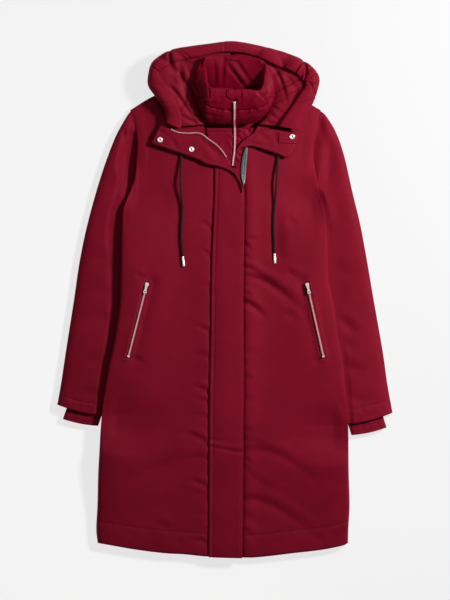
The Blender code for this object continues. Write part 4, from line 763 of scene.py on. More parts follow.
def placket_top(x, y):
    seam, free = placket_edges(y)
    thick = mix(PLACKET_SEAM_THICK, PLACKET_THICK, step_smooth((x + 34.0) / 34.0))
    relief = -1.5 * np.exp(-((x - seam - PLACKET_STITCH) / 1.3) ** 2)
    relief -= 0.5 * np.exp(-((x - free + PLACKET_EDGE_STITCH) / 1.2) ** 2)
    slant = y + 300.0 + 0.12 * (x - 30.0)
    relief -= 1.3 * np.exp(-(slant / 4.0) ** 2) * step_smooth((36.0 - x) / 70.0)
    relief -= 1.5 * np.exp(-((slant + 17.0 + 0.06 * x) / 4.5) ** 2)
    relief += 0.8 * np.exp(-((slant + 9.0) / 5.0) ** 2)
    relief += 0.45 * noise(x, y, 38.0, 11) + 0.28 * noise(2.0 * (x - seam), y, 17.0, 12) * (
        np.exp(-((x - seam - PLACKET_STITCH) / 9.0) ** 2))
    return placket_under(x, y) + thick + relief


def build_placket():
    piece = lay_sheet("placket_cloth", "shell", placket_place, placket_top, placket_under,
                      (70.0, PLACKET_Y[-1] - PLACKET_Y[0]), 2.2, 2.6, 1.0)
    belongs(piece, "shell_cloth", "placket")


# ------------------------------------------------------------------- sleeves
SLEEVE_TOP_THICK = 15.0
SLEEVE_LOW_SHARE = 0.42
ARMHOLE_FADE = 0.22
Valley = namedtuple("Valley", "slope wall top_y top_run dip width")
VALLEYS = {-1: Valley(0.05, 1.1, 345.0, 60.0, 1.0, 20.0),   # where each sleeve goes in
           1: Valley(0.9, 0.9, 200.0, 70.0, 4.5, 30.0)}     # beside the body
ValleyRow = namedtuple("ValleyRow", "y wide floor")
VALLEY_WIDE = rows_of(          # the right one's width and floor, up the coat
    ValleyRow,
    (-190, 3, 1), (-105, 6, 1), (0, 13, 1), (105, 20, 1), (147, 22, 1), (190, 20, 1),
    (231, 22, 1), (273, 25, 1), (300, 24, 1.5), (322, 20, 3.5), (342, 13, 7), (360, 6, 12),
)
ARMHOLE_TUCK = 2.6              # how far its cloth reaches in under the body's edge
ARMPIT_TUCK = {-1: 4.5, 1: 13.0}
ARMPIT_RUN = {-1: 0.3, 1: 0.45}
DIP_HOLD = (200.0, 42.0, 0.85)  # where the sleeve's dip is held back, over what run, by how much
CAP_FREE = 26.0                 # above its valley's top the sleeve is free to rise by this
CUFF_BOW = 6.0
TUCK_TOP_Y = 275.0
TUCK_MARGIN = 7.0
SLEEVE_CREASES = rows_of(
    Crease,
    (-212, 366, -210, 330, -212, 296, 6, 5.0, 0.0, 0.1, 0.3),
    (-222, 250, -232, 220, -232, 180, 16, 1.8, 1.0, 0.2, 0.1),
    (-236, 86, -262, 92, -282, 76, 15, 1.8, -1.0, 0.4, 0.1),
    (-234, 30, -256, 10, -276, 14, 12, 1.6, -0.8, 0.6, 0.1),
    (-240, -40, -262, -34, -286, -52, 13, 1.9, -1.0, 0.5, 0.1),
    (-250, -130, -276, -122, -306, -142, 14, 2.0, -1.0, 0.6, 0.1),
    (-262, -196, -284, -190, -312, -200, 10, 1.6, -0.8, 0.5, 0.1),
    (220, 350, 221, 290, 214, 206, 15, 5.0, 0.0, 0.1, 0.1),
    (202, 372, 207, 350, 210, 320, 9, 1.8, 0.9, 0.6, 0.1),
    (232, 210, 240, 180, 243, 140, 16, 1.8, -1.0, 0.2, 0.1),
    (236, 60, 262, 50, 288, 66, 15, 1.6, 0.9, 0.5, 0.1),
    (246, -44, 262, -58, 286, -78, 11, 3.2, 1.6, 0.7, 0.1),
    (248, -92, 268, -100, 292, -96, 13, 1.8, 0.9, 0.6, 0.1),
    (256, -140, 276, -150, 302, -140, 12, 2.6, 1.3, 0.6, 0.1),
    (262, -206, 284, -214, 308, -206, 11, 2.0, 1.0, 0.5, 0.1),
)


def sleeve_rows(side):
    return SLEEVE_RIGHT if side < 0 else SLEEVE_LEFT


def sleeve_plan(side, along, share):
    """Plan point of a sleeve: along 0 armhole to 1 cuff, share 0 inner to 1 outer."""
    rows = sleeve_rows(side)
    row = along_table(rows, along * (len(rows) - 1))
    x = side * mix(row.inner_x, row.outer_x, share)
    y = mix(row.inner_y, row.outer_y, share)
    first = rows[0]
    edge = body_edges(mix(first.inner_y, first.outer_y, share))[0 if side < 0 else 1]
    straight = side * mix(first.inner_x, first.outer_x, share)
    fade = np.clip(1.0 - along / ARMHOLE_FADE, 0.0, None) ** 1.5
    x = x + (edge - side * ARMHOLE_TUCK * fade - straight) * fade
    low = step_smooth(1.0 - along / ARMPIT_RUN[side]) * (1.0 - share) ** 2
    x = x - side * ARMPIT_TUCK[side] * low
    y = y - CUFF_BOW * np.sin(np.pi * share) * step_smooth((along - 0.8) / 0.2)
    return x, y


def sleeve_heights(side, along, share, x, y, fine=True):
    """Top and underside heights of a sleeve at a plan point."""
    thick = mix(SLEEVE_TOP_THICK, SLEEVE_THICK, step_smooth(along / 0.14))
    thick = mix(thick, SLEEVE_THICK + 1.0, step_smooth((along - 0.9) / 0.1))
    away = np.abs(2.0 * share - 1.0)
    middle = SLEEVE_LOW_SHARE * thick
    high = middle + (thick - middle) * np.sqrt(np.clip(1.0 - away ** 7, 0.0, None))
    low = middle * away ** 16
    if fine:
        calm = 1.0 - away ** 6
        relief = crease_relief(SLEEVE_CREASES, x, y)
        relief += 0.5 * noise(x, y, 60.0, 21) + 0.25 * noise(x, y, 24.0, 22)
        relief += 0.1 * noise(x, y, 9.0, 25)
        relief -= 1.2 * np.exp(-((along - 0.955) / 0.004) ** 2)
        relief += 0.7 * noise(x, y, 11.0, 23) * np.exp(-((along - 0.97) / 0.03) ** 2)
        relief += 1.0 * noise(15.0 * share, y, 14.0, 24) * np.exp(-along / 0.03)
        high = high + calm * relief
    edge = body_edges(np.minimum(y, HIGH_LEVEL))[0 if side < 0 else 1]
    margin = TUCK_MARGIN * step_smooth((TUCK_TOP_Y - 13.0 - y) / 30.0)
    beyond = np.clip(np.abs(x) - np.abs(edge) - margin, 0.0, None)
    valley = VALLEYS[side]
    if fine:
        dip = valley.dip * np.exp(-(beyond / valley.width) ** 2)
        dip *= 1.0 - DIP_HOLD[2] * np.exp(-((y - DIP_HOLD[0]) / DIP_HOLD[1]) ** 2)
        high = high - dip * step_smooth((325.0 - y) / 100.0) * step_smooth((y + 150.0) / 130.0)
    floor = curve(y, column(VALLEY_WIDE, "y"), column(VALLEY_WIDE, "floor"))
    wide = curve(y, column(VALLEY_WIDE, "y"), column(VALLEY_WIDE, "wide"))
    cap = np.maximum(body_lift(x, y) - SLEEVE_CLEAR, floor) + valley.slope * beyond
    cap = cap + valley.wall * np.clip(beyond - wide, 0.0, None)
    cap = cap + CAP_FREE * step_smooth((y - valley.top_y) / valley.top_run)
    high = soft_least(high, cap, 5.0) if fine else np.minimum(high, cap)
    return np.maximum(high, low + 0.5), low


SLEEVE_LENGTH = 660.0
SLEEVE_ROUND = 300.0
SLEEVE_TOP_POINTS = 58
SLEEVE_UNDER_POINTS = 22
SLEEVE_CELL = 3.0
INNER_SHARE = 0.26              # the inside keeps this share of the thickness off its middle


def ring_shares(count, power=1.6):
    """Shares 0..1, closer together near both ends."""
    t = np.linspace(-1.0, 1.0, count)
    return 0.5 + 0.5 * np.sign(t) * (1.0 - (1.0 - np.abs(t)) ** power)


def build_sleeve(side, name):
    along = np.linspace(0.0, 1.0, int(SLEEVE_LENGTH / SLEEVE_CELL))
    tops = ring_shares(SLEEVE_TOP_POINTS)
    unders = ring_shares(SLEEVE_UNDER_POINTS)[-2:0:-1]
    aa, ss = np.meshgrid(along, tops, indexing="ij")
    x, y = sleeve_plan(side, aa, ss)
    high, low = sleeve_heights(side, aa, ss, x, y)
    rim = (ss == 0.0) | (ss == 1.0)
    upper = np.stack((x, y, np.where(rim, 0.5 * (high + low), high)), axis=-1)
    aa, ss = np.meshgrid(along, unders, indexing="ij")
    x, y = sleeve_plan(side, aa, ss)
    high, low = sleeve_heights(side, aa, ss, x, y)
    rings = np.concatenate((upper, np.stack((x, y, low), axis=-1)), axis=1)
    shares = np.concatenate((tops, unders))
    over = np.concatenate((np.ones(len(tops)), -np.ones(len(unders))))
    inner = []
    for spot in np.concatenate((np.linspace(1.0, 0.9, 9), np.linspace(0.86, 0.0, 14))):
        inset = mix(0.07, 0.93, shares)
        x, y = sleeve_plan(side, np.full(shares.shape, spot), inset)
        high, low = sleeve_heights(side, np.full(shares.shape, spot), inset, x, y)
        reach = CUFF_SLIT * np.sqrt(np.clip(1.0 - np.abs(2.0 * shares - 1.0) ** 4, 0.0, None))
        reach = np.minimum(reach, INNER_SHARE * (high - low))
        inner.append(np.stack((x, y, 0.5 * (high + low) + over * reach), axis=-1))
    piece = ring_body(f"{name}_cloth", "shell", np.concatenate((rings, inner)),
                      (SLEEVE_LENGTH, SLEEVE_ROUND), capped=False)
    belongs(piece, "shell_cloth", name)


STORM_SHARES = (0.2, 0.83)
STORM_OUT = 25.0
STORM_INSIDE = 12.0


def build_storm_cuff(side, name):
    """The inner cuff, gathered a little by its elastic."""
    share = np.array([0.5])
    tip = sleeve_plan(side, np.array([1.0]), share)
    before = sleeve_plan(side, np.array([0.96]), share)
    run = np.array((tip[0][0] - before[0][0], tip[1][0] - before[1][0]))
    run /= np.hypot(*run)
    tops = ring_shares(70, 1.5)
    unders = ring_shares(70, 1.5)[-2:0:-1]
    shares = np.concatenate((tops, unders))
    over = np.concatenate((np.ones(len(tops)), -np.ones(len(unders))))
    rings = []
    outs = np.concatenate((np.linspace(-STORM_INSIDE, STORM_OUT - 1.6, 16),
                           (STORM_OUT - 0.8, STORM_OUT - 0.2, STORM_OUT)))

    def ring(out, half, inset):
        part = mix(STORM_SHARES[0], STORM_SHARES[1], mix(inset, 1.0 - inset, shares))
        x, y = sleeve_plan(side, np.ones(shares.shape), part)
        bulge = np.sqrt(np.clip(1.0 - np.abs(2.0 * shares - 1.0) ** 6, 0.0, None))
        rib = 0.35 * noise(x * 1.0, 0.0 * x, 3.4, 26) + 0.45 * noise(x, 0.0 * x, 9.0, 27)
        swell = half * bulge + rib * bulge * (half > 1.0)
        return np.stack((x + run[0] * out, y + run[1] * out,
                         STORM_CENTRE + over * swell), axis=-1)

    for out in outs:
        half = 0.5 * STORM_THICK
        half -= 0.9 * math.exp(-((out - 8.5) / 1.3) ** 2)
        half -= 0.7 * math.exp(-((out - 19.0) / 1.3) ** 2)
        half *= 1.0 if out < STORM_OUT - 1.0 else 0.9 if out < STORM_OUT - 0.1 else 0.7
        rings.append(ring(out, half, 0.0))
    for out in (STORM_OUT, STORM_OUT - 0.6, STORM_OUT - 6.0, STORM_OUT - 14.0, 0.0):
        rings.append(ring(out, 1.9 if out == STORM_OUT else 0.75, 0.04))
    piece = ring_body(f"{name}_cloth", "shell", rings, (STORM_OUT + STORM_INSIDE, 180.0))
    belongs(piece, "shell_cloth", name)


# ---------------------------------------------------------------------- hood
RimProfile = namedtuple("RimProfile", "share height drop")
RIM_PROFILE = rows_of(
    RimProfile,
    (0.07, 0.0, 0.0), (0.0, 0.3, 0.0), (0.03, 0.62, 0.0), (0.16, 0.88, 0.0), (0.40, 1.0, 0.0),
    (0.70, 1.0, 0.4), (0.92, 1.0, 1.9), (1.0, 1.0, 5.5), (0.93, 1.0, 9.5), (0.70, 1.0, 8.6),
    (0.47, 1.0, 8.4), (0.34, 0.62, 0.0), (0.29, 0.3, 0.0), (0.30, 0.0, 0.0),
)
RimCrease = namedtuple("RimCrease", "position width depth slant")
RIM_BASE = rows_of(             # the broad dips that the solid has too
    RimCrease,
    (6.4, 0.22, 6.0, 0), (7.2, 0.2, 3.5, 0), (11.2, 0.25, 3.5, 0), (12.5, 0.35, 5.5, 0),
    (14.4, 0.25, 6.0, 0), (16.4, 0.3, 3.5, 0),
)
RIM_FINE = rows_of(             # sharp pinches across the rim, slanting over it
    RimCrease,
    (6.71, 0.07, 9.5, -0.52), (6.45, 0.16, -1.8, -0.5), (5.5, 0.05, 3.2, -0.4),
    (7.45, 0.05, 1.6, 0.1), (9.62, 0.035, 1.8, 0.0), (11.3, 0.12, 2.4, -0.3),
    (12.3, 0.16, 2.0, 0.8), (13.65, 0.08, 7.0, 0.1), (14.4, 0.13, 8.0, 1.4),
    (14.05, 0.32, 4.5, 0.7), (15.1, 0.06, 3.2, 0.3), (16.45, 0.12, 3.5, -2.4),
    (4.1, 0.06, 1.0, 0.4), (2.4, 0.07, 1.0, 0.5), (18.2, 0.07, 0.9, 0.4),
)


def rim_dip(rows, position, share):
    return sum(c.depth * np.exp(-((position - c.position - c.slant * (share - 0.5))
                                  / c.width) ** 2) for c in rows)


def build_rim():
    last = len(HOOD) - 1
    position = np.linspace(0.0, last, 500)
    knots = np.arange(len(RIM_PROFILE))
    spots = np.linspace(0.0, len(RIM_PROFILE) - 1, 56)
    share = curve(spots, knots, column(RIM_PROFILE, "share"))
    height = curve(spots, knots, column(RIM_PROFILE, "height"))
    drop = curve(spots, knots, column(RIM_PROFILE, "drop"))
    pp, kk = np.meshgrid(position, np.arange(len(spots)), indexing="ij")
    row = along_table(HOOD, pp)
    sh, he, dr = share[kk], height[kk], drop[kk]
    x = mix(row.outer_x, row.inner_x, sh)
    y = mix(row.outer_y, row.inner_y, sh)
    z = mix(row.foot, row.crest, he) - dr
    upper = step_smooth((he - 0.2) / 0.6) * (spots[kk] < 10.0)
    z = z - rim_dip(RIM_BASE, pp, sh) * he
    fine = rim_dip(RIM_FINE, pp, sh)
    z = z - fine * upper
    ripple = 0.7 * noise(pp * 43.0, sh * 40.0, 34.0, 31)
    ripple += 0.25 * noise(pp * 43.0, sh * 40.0, 13.0, 32)
    ripple += 0.3 * noise(pp * 43.0, 0.0 * sh, 9.0, 33) * np.exp(-((sh - 0.96) / 0.2) ** 2)
    z = z + ripple * upper
    out_x = row.outer_x - row.inner_x
    out_y = row.outer_y - row.inner_y
    size = np.hypot(out_x, out_y)
    side = np.exp(-(sh / 0.2) ** 2) * (spots[kk] < 5.0) * he
    push = (0.4 * noise(pp * 43.0, he * 30.0, 26.0, 34) - 0.35 * fine) * side
    x = x + out_x / size * push
    y = y + out_y / size * push
    rings = np.stack((x, y, z), axis=-1)
    piece = ring_body("hood_rim_cloth", "shell", rings, (1250.0, 150.0))
    belongs(piece, "shell_cloth", "hood_rim")


ShellProfile = namedtuple("ShellProfile", "inward height flat_share")
SHELL_OUTER = rows_of(
    ShellProfile,
    (2.4, 1.0, 0.0), (0.4, 0.6, 0.0), (3.5, 0.2, 0.0), (12.0, 0.0, 0.0), (12.0, 0.0, 0.33),
    (12.0, 0.0, 0.66), (12.0, 0.0, 1.0),
)
SHELL_INNER_RISE = (0.0, 0.0, 5.0, 7.0, 7.0, 7.0, 7.0)
SHELL_INNER_IN = (7.0, 7.0, 6.5, 3.5, 2.0, 1.0, 0.0)


SHELL_END_X = (-146.0, 163.0)   # the outer hood meets the neck between these
SHELL_END_OVER = 2.0


def shell_point(position, inward, height, flat, rise, extra):
    row = along_table(HOOD, position)
    share = (position - SHELL_FIRST_ROW) / (SHELL_LAST_ROW - SHELL_FIRST_ROW)
    end_x = mix(SHELL_END_X[0], SHELL_END_X[1], share)
    end_y = top_y(end_x, "back_y") + SHELL_END_OVER
    run_x = end_x - row.outer_x
    run_y = end_y - row.outer_y
    length = np.hypot(run_x, run_y)
    reach = mix(np.minimum(inward + extra, 0.8 * length), length, flat)
    fold = 1.2 * noise(position * 55.0, height * 30.0, 26.0, 41) * height * (1.0 - height) * 4
    return np.stack((row.outer_x + run_x / length * (reach - fold),
                     row.outer_y + run_y / length * (reach - fold),
                     (row.foot - SEAM_GAP) * height + rise), axis=-1)


def build_shell_panel(name, start, end, count):
    spots = np.concatenate((np.linspace(0.0, 3.0, 19), np.linspace(3.4, 6.0, 9)))
    knots = np.arange(len(SHELL_OUTER))
    pp, ss = np.meshgrid(np.linspace(start, end, count), spots, indexing="ij")
    inward = curve(ss, knots, column(SHELL_OUTER, "inward"))
    height = np.clip(curve(ss, knots, column(SHELL_OUTER, "height")), 0.0, 1.0)
    height = np.where(ss >= 3.0, 0.0, height)
    flat = np.clip(curve(ss, knots, column(SHELL_OUTER, "flat_share")), 0.0, 1.0)
    flat = np.where(ss <= 3.0, 0.0, flat)
    outer = shell_point(pp, inward, height, flat, 0.0, 0.0)
    inner = shell_point(pp, inward, height, flat, np.interp(ss, knots, SHELL_INNER_RISE),
                        np.interp(ss, knots, SHELL_INNER_IN))
    piece = shell_between(f"{name}_cloth", "shell", outer, inner, 1,
                          (30.0 * (end - start), 110.0))
    belongs(piece, "shell_cloth", name)


LINING_DROP = 12.6
LINING_SAG = 3.0
LINING_BULGE = 0.4
LINING_HOLD = {"hood_lining_r": 4.6,   # they stay high, then dive in beside the collar
               "hood_lining_l": 3.4}
LINING_FOOT_OUT = 6.0

LINING_CREASES = rows_of(       # plan lines
    Crease,
    (-118, 452, -92, 420, -62, 372, 4.5, 3.0, 1.6, 0.3, 0.4),
    (-66, 446, -84, 410, -104, 392, 4.5, 2.6, 1.4, 0.3, 0.4),
    (-97, 504, -93, 470, -84, 440, 4.5, 6.0, -3.0, 0.9, 0.2),
    (-80, 470, -76, 450, -66, 424, 3.5, 3.0, -1.6, 0.3, 0.3),
    (-60, 492, -78, 498, -98, 496, 5, 3.0, 1.2, 0.5, 0.3),
    (-88, 384, -70, 372, -46, 366, 4, 2.4, 1.2, 0.6, 0.3),
    (-122, 444, -108, 440, -92, 424, 5, 2.0, 1.0, 0.5, 0.2),
    (104, 484, 120, 462, 130, 412, 3.2, 4.2, 2.2, 0.9, 0.3),
    (92, 392, 100, 386, 112, 376, 3.5, 2.2, 1.2, 0.6, 0.3),
    (96, 408, 108, 398, 124, 392, 3.5, 2.2, 1.2, 0.5, 0.3),
    (84, 376, 98, 368, 114, 366, 3.5, 2.0, 1.0, 0.5, 0.3),
    (130, 470, 142, 452, 150, 436, 5, 2.0, 1.0, 0.4, 0.3),
    (76, 506, 96, 498, 112, 486, 5, 3.0, 1.2, 0.6, 0.3),
    (156, 452, 148, 430, 132, 408, 4.5, 1.8, 0.9, 0.4, 0.2),
)


def collar_row(position):
    return along_table(COLLAR, position)


def build_lining(name, hood_span, collar_span, size):
    """Hood lining from under the rim's inner edge down to the collar seam."""
    across = int(size[0] / 2.4) // 3 * 3 + 1
    along = int(size[1] / 2.2) // 3 * 3 + 1
    share, part = np.meshgrid(np.linspace(0, 1, across), np.linspace(0, 1, along),
                              indexing="ij")
    sag = LINING_BULGE if name == "hood_lining_r" else -0.5 * LINING_SAG
    row = along_table(HOOD, mix(hood_span[0], hood_span[1], share))
    foot = collar_row(mix(collar_span[0], collar_span[1], share))
    out_x = foot.base_x - NECK_MIDDLE[0]
    out_y = foot.base_y - NECK_MIDDLE[1]
    stretch = LINING_FOOT_OUT / np.hypot(out_x, out_y)
    end_x = foot.base_x + out_x * stretch
    end_y = foot.base_y + out_y * stretch
    start_x = mix(row.outer_x, row.inner_x, 0.8)
    start_y = mix(row.outer_y, row.inner_y, 0.8)
    position = mix(hood_span[0], hood_span[1], share)
    high = row.crest - LINING_DROP - rim_dip(RIM_BASE, position, 0.5)
    low = np.maximum(foot.base_z - 4.0, 14.0)
    z = mix(high, low, part ** LINING_HOLD[name]) + sag * np.sin(np.pi * part)
    x = mix(start_x, end_x, part)
    y = mix(start_y, end_y, part)
    over = y < top_y(x, "front_y") + 12.0
    floor = front_level(x, y) + LINING_THICK + LAY_GAP
    z = np.where(over, np.maximum(z, floor), z)
    inside = np.sin(np.pi * part) ** 0.5
    relief = crease_relief(LINING_CREASES, x, y) + 1.0 * noise(x, y, 26.0, 51)
    relief += 0.45 * noise(x, y, 11.0, 52)
    top = np.stack((x, y, z + inside * relief), axis=-1)
    under = np.stack((x, y, z - LINING_THICK), axis=-1)
    piece = shell_between(f"{name}_cloth", "lining", top, under, 3, size)
    belongs(piece, "lining_cloth", name)


# -------------------------------------------------------------- inner collar
BELLY_LOW = 0.55                # the right side's belly hangs lower


def collar_surface(position, rise):
    """Outer face of the inner collar; rise 0 at its seam to 1 at its top edge."""
    row = collar_row(position)
    last = len(COLLAR) - 1.0
    x = mix(row.base_x, row.top_x, rise)
    y = mix(row.base_y, row.top_y, rise)
    low = step_smooth((position - 2.0) / 1.5) * step_smooth((7.5 - position) / 1.5)
    z = mix(row.base_z, row.top_z, np.sin(0.5 * np.pi * np.clip(rise, 0, 1))
            ** (0.9 + BELLY_LOW * low))
    before = collar_row(np.maximum(position - 0.4, 0.0))
    after = collar_row(np.minimum(position + 0.4, last))
    run_x = mix(after.base_x, after.top_x, rise) - mix(before.base_x, before.top_x, rise)
    run_y = mix(after.base_y, after.top_y, rise) - mix(before.base_y, before.top_y, rise)
    size = np.hypot(run_x, run_y)
    push = row.belly * np.sin(np.pi * np.clip(rise, 0, 1)) ** COLLAR_BELLY_POWER
    return np.stack((x - run_y / size * push, y + run_x / size * push, z), axis=-1)


def collar_normal(position, rise):
    last = len(COLLAR) - 1.0
    run = (collar_surface(np.minimum(position + 0.15, last), rise)
           - collar_surface(np.maximum(position - 0.15, 0.0), rise))
    up = (collar_surface(position, np.minimum(rise + 0.05, 1.0))
          - collar_surface(position, np.maximum(rise - 0.05, 0.0)))
    normal = np.cross(up, run)
    return normal / np.linalg.norm(normal, axis=-1, keepdims=True)


def quilt_puff(rise):
    return QUILT_RISE * np.abs(np.sin(2.0 * np.pi * rise * 0.98)) ** 0.6


def collar_outer(position, rise, out=0.0):
    lift = (quilt_puff(rise) + out)[..., None]
    return collar_surface(position, rise) + collar_normal(position, rise) * lift


COLLAR_CREASES = rows_of(       # on the collar's front and sides, plan lines
    Crease,
    (-33, 438, -32, 424, -28, 412, 2.4, 3.4, 1.8, 0.9, 0.2),
    (-27, 430, -25, 422, -26, 414, 2.0, 2.2, -1.0, 0.5, 0.2),
    (30, 440, 33, 428, 32, 416, 2.6, 3.0, 1.4, 0.9, 0.2),
    (84, 430, 76, 424, 60, 410, 3.2, 2.8, 1.4, 0.4, 0.3),
    (64, 436, 72, 426, 84, 416, 3.0, 2.0, -1.2, 0.4, 0.3),
    (-54, 470, -50, 440, -38, 420, 4.0, 2.0, -1.2, 0.3, 0.3),
    (-50, 412, -30, 408, -12, 410, 2.8, 1.6, 0.9, 0.3, 0.3),
    (78, 396, 66, 388, 44, 386, 3.0, 1.6, 0.8, 0.4, 0.3),
    (-44, 392, -30, 384, -8, 384, 3.0, 1.4, 0.8, 0.4, 0.3),
    (40, 404, 52, 412, 60, 424, 2.8, 1.6, -0.9, 0.3, 0.3),
)
SEAM_RISE = 0.51                # the quilting seam's height on the collar
SEAM_DIP = 0.09                 # and how much lower it runs at the front


def build_collar():
    last = len(COLLAR) - 1.0
    pp, rr = np.meshgrid(np.linspace(0.0, last, 232), np.linspace(0.0, 1.0, 60), indexing="ij")
    run = pp * 32.0
    front = 1.0 - step_smooth((np.minimum(pp, last - pp) - 0.5) / 2.5)
    seam = SEAM_RISE - SEAM_DIP * front
    folded = np.where(rr < seam, rr / seam * SEAM_RISE,
                      1.0 - (1.0 - rr) / (1.0 - seam) * (1.0 - SEAM_RISE))
    near_seam = np.exp(-((rr - seam) / 0.06) ** 2) + np.exp(-(rr / 0.08) ** 2)
    relief = 1.2 * noise(run, rr * 70.0, 24.0, 61) + 0.7 * noise(run, rr * 70.0, 10.0, 62)
    relief += 1.7 * noise(run, rr * 20.0, 7.0, 63) * near_seam
    relief += quilt_puff(folded) - quilt_puff(rr)
    plan = collar_surface(pp, rr)
    outside = step_smooth((4.0 - np.abs(pp - 0.5 * last + 8.0)) / 2.0)
    outside = np.maximum(outside, step_smooth((4.2 - (last - pp)) / 1.5))
    relief += outside * crease_relief(COLLAR_CREASES, plan[..., 0], plan[..., 1])
    relief *= np.sin(np.pi * rr) ** 0.4
    relief -= 1.6 * np.exp(-((rr - seam) / 0.018) ** 2)
    outer = collar_outer(pp, rr, relief)
    inside = 0.9 * noise(run, rr * 70.0, 20.0, 64)
    back = step_smooth((pp - 5.0) / 1.5) * step_smooth((11.5 - pp) / 1.5)
    inside += back * crease_relief(NECK_CREASES, outer[..., 0], outer[..., 1])
    wall = (COLLAR_WALL + 1.2 * np.sin(np.pi * rr) + inside * np.sin(np.pi * rr) ** 0.5)
    inner = collar_surface(pp, rr) - collar_normal(pp, rr) * wall[..., None]
    piece = shell_between("inner_collar_cloth", "nylon", outer, inner, 1, (430.0, 95.0))
    belongs(piece, "nylon_cloth", "inner_collar")


NECK_CREASES = rows_of(         # in the back of the neck, plan lines
    Crease,
    (-2, 508, -4, 480, -6, 450, 3.5, 3.0, 1.6, 0.6, 0.3),
    (2, 498, 28, 462, 64, 430, 4.0, 3.4, 2.0, 0.5, 0.4),
    (20, 505, 40, 480, 52, 462, 4.0, 2.4, 1.2, 0.4, 0.3),
    (-24, 500, -18, 474, -20, 450, 4.0, 2.2, 1.2, 0.5, 0.3),
)


# ---------------------------------------------------------------- bib, lapel
BIB_Y = column(BIB, "y")


def bib_under(x, y):
    return front_level(x, y) + LAY_GAP


def bib_top(x, y):
    """Gathers run out from the inner zip and from the collar's seam."""
    zip_x = curve(y, BIB_Y, column(BIB, "zip_x"))
    out = np.abs(x - zip_x)
    relief = 1.3 * noise(1.4 * out, y + 0.5 * x, 8.0, 71) * np.exp(-out / 16.0)
    relief += 0.7 * noise(x, y, 16.0, 72) - 1.4 * np.exp(-((out - 3.4) / 1.8) ** 2)
    relief -= 1.2 * np.exp(-((y - 352.0) / 2.2) ** 2)
    left = step_smooth((x - zip_x) / 6.0)
    relief += left * 2.0 * noise(x * 0.6, y + 0.8 * x, 6.5, 73)
    return bib_under(x, y) + BIB_THICK + relief


def strip_place(rows, u, v):
    row = along_table(rows, u * (len(rows) - 1))
    return mix(row.low_x, row.high_x, v), mix(row.low_y, row.high_y, v)


def lapel_under(x, y):
    return front_level(x, y) + LAPEL_LIFT


def lapel_base(x, y):
    return lapel_under(x, y) + LAPEL_THICK


LAPEL_CREASES = rows_of(
    Crease,
    (-146, 362, -132, 348, -116, 342, 5, 1.8, 0.9, 0.2, 0.2),
    (-112, 338, -104, 326, -100, 314, 5, 1.5, 0.8, 0.3, 0.3),
    (-40, 330, -22, 310, -8, 290, 6, 1.6, -0.9, 0.2, 0.2),
    (-60, 344, -30, 322, 2, 296, 5, 1.2, 0.7, 0.2, 0.2),
    (70, 350, 84, 336, 104, 330, 6, 1.5, 0.8, 0.3, 0.2),
    (50, 330, 70, 324, 92, 322, 5, 1.2, 0.6, 0.3, 0.2),
    (104, 352, 106, 336, 112, 322, 4, 1.2, 0.6, 0.5, 0.3),
)


def lapel_top(x, y):
    relief = crease_relief(LAPEL_CREASES, x, y) + 0.7 * noise(x, y, 34.0, 81)
    relief += 0.3 * noise(x, y, 12.0, 82)
    for spot in SNAPS:
        away = np.hypot(x - spot.x, y - spot.y)
        relief = relief * (1.0 - np.exp(-(away / 12.0) ** 2)) - 0.5 * np.exp(-(away / 8.0) ** 2)
    return lapel_base(x, y) + relief


def build_chest():
    def bib_place(u, v, names, gaps):
        y = mix(BIB_Y[0], BIB_Y[-1], v)
        a = curve(y, BIB_Y, column(BIB, names[0])) + gaps[0]
        b = curve(y, BIB_Y, column(BIB, names[1])) + gaps[1]
        return mix(a, b, u), y

    for name, names, gaps, width in (("bib_r", ("right_x", "zip_x"), (0.0, -1.0), 45.0),
                                     ("bib_l", ("zip_x", "left_x"), (1.0, 0.0), 28.0)):
        piece = lay_sheet(f"{name}_cloth", "nylon",
                          lambda u, v, n=names, g=gaps: bib_place(u, v, n, g),
                          bib_top, bib_under, (width, 82.0), 1.6, 2.0, 1.0)
        belongs(piece, "nylon_cloth", name)
    for name, rows, width in (("lapel_r", LAPEL_RIGHT, 230.0), ("lapel_l", LAPEL_LEFT, 135.0)):
        piece = lay_sheet(f"{name}_cloth", "shell",
                          lambda u, v, rows=rows: strip_place(rows, u, v),
                          lapel_top, lapel_under, (width, 42.0), 1.9, 3.5, 1.5)
        belongs(piece, "shell_cloth", name)


SnapSpot = namedtuple("SnapSpot", "name x y over")
TAB_THICK = 1.6
TAB_LIFT = 0.6
SNAPS = (
    SnapSpot("snap_r1", -135.7, 335.5, 0.5),
    SnapSpot("snap_r2", -69.9, 315.5, 0.5),
    SnapSpot("snap_l1", 140.7, 342.0, TAB_LIFT + TAB_THICK + 0.8),
)
TAB_CORNERS = ((112.0, 329.0), (150.0, 327.5), (151.0, 346.5), (113.0, 352.5))


def tab_place(u, v):
    a, b, c, d = TAB_CORNERS
    return (mix(mix(a[0], b[0], u), mix(d[0], c[0], u), v),
            mix(mix(a[1], b[1], u), mix(d[1], c[1], u), v))


def tab_top(x, y):
    return lapel_base(x, y) + TAB_LIFT + TAB_THICK + 0.25 * noise(x, y, 12.0, 83)


def build_tab():
    piece = lay_sheet("lapel_tab_cloth", "shell", tab_place, tab_top,
                      lambda x, y: lapel_base(x, y) - 0.4, (38.0, 22.0), 1.2, 1.2, 0.6)
    belongs(piece, "shell_cloth", "lapel_tab")


GuardRow = namedtuple("GuardRow", "y right_x left_x")
GUARD = rows_of(
    GuardRow,
    (239, 38.6, 40.0), (247, 36.2, 42.0), (258, 33.2, 43.2), (276, 33.2, 44.6),
    (294, 35.5, 46.4), (310, 39.0, 47.4), (322, 42.5, 47.4),
)
GUARD_Y = column(GUARD, "y")


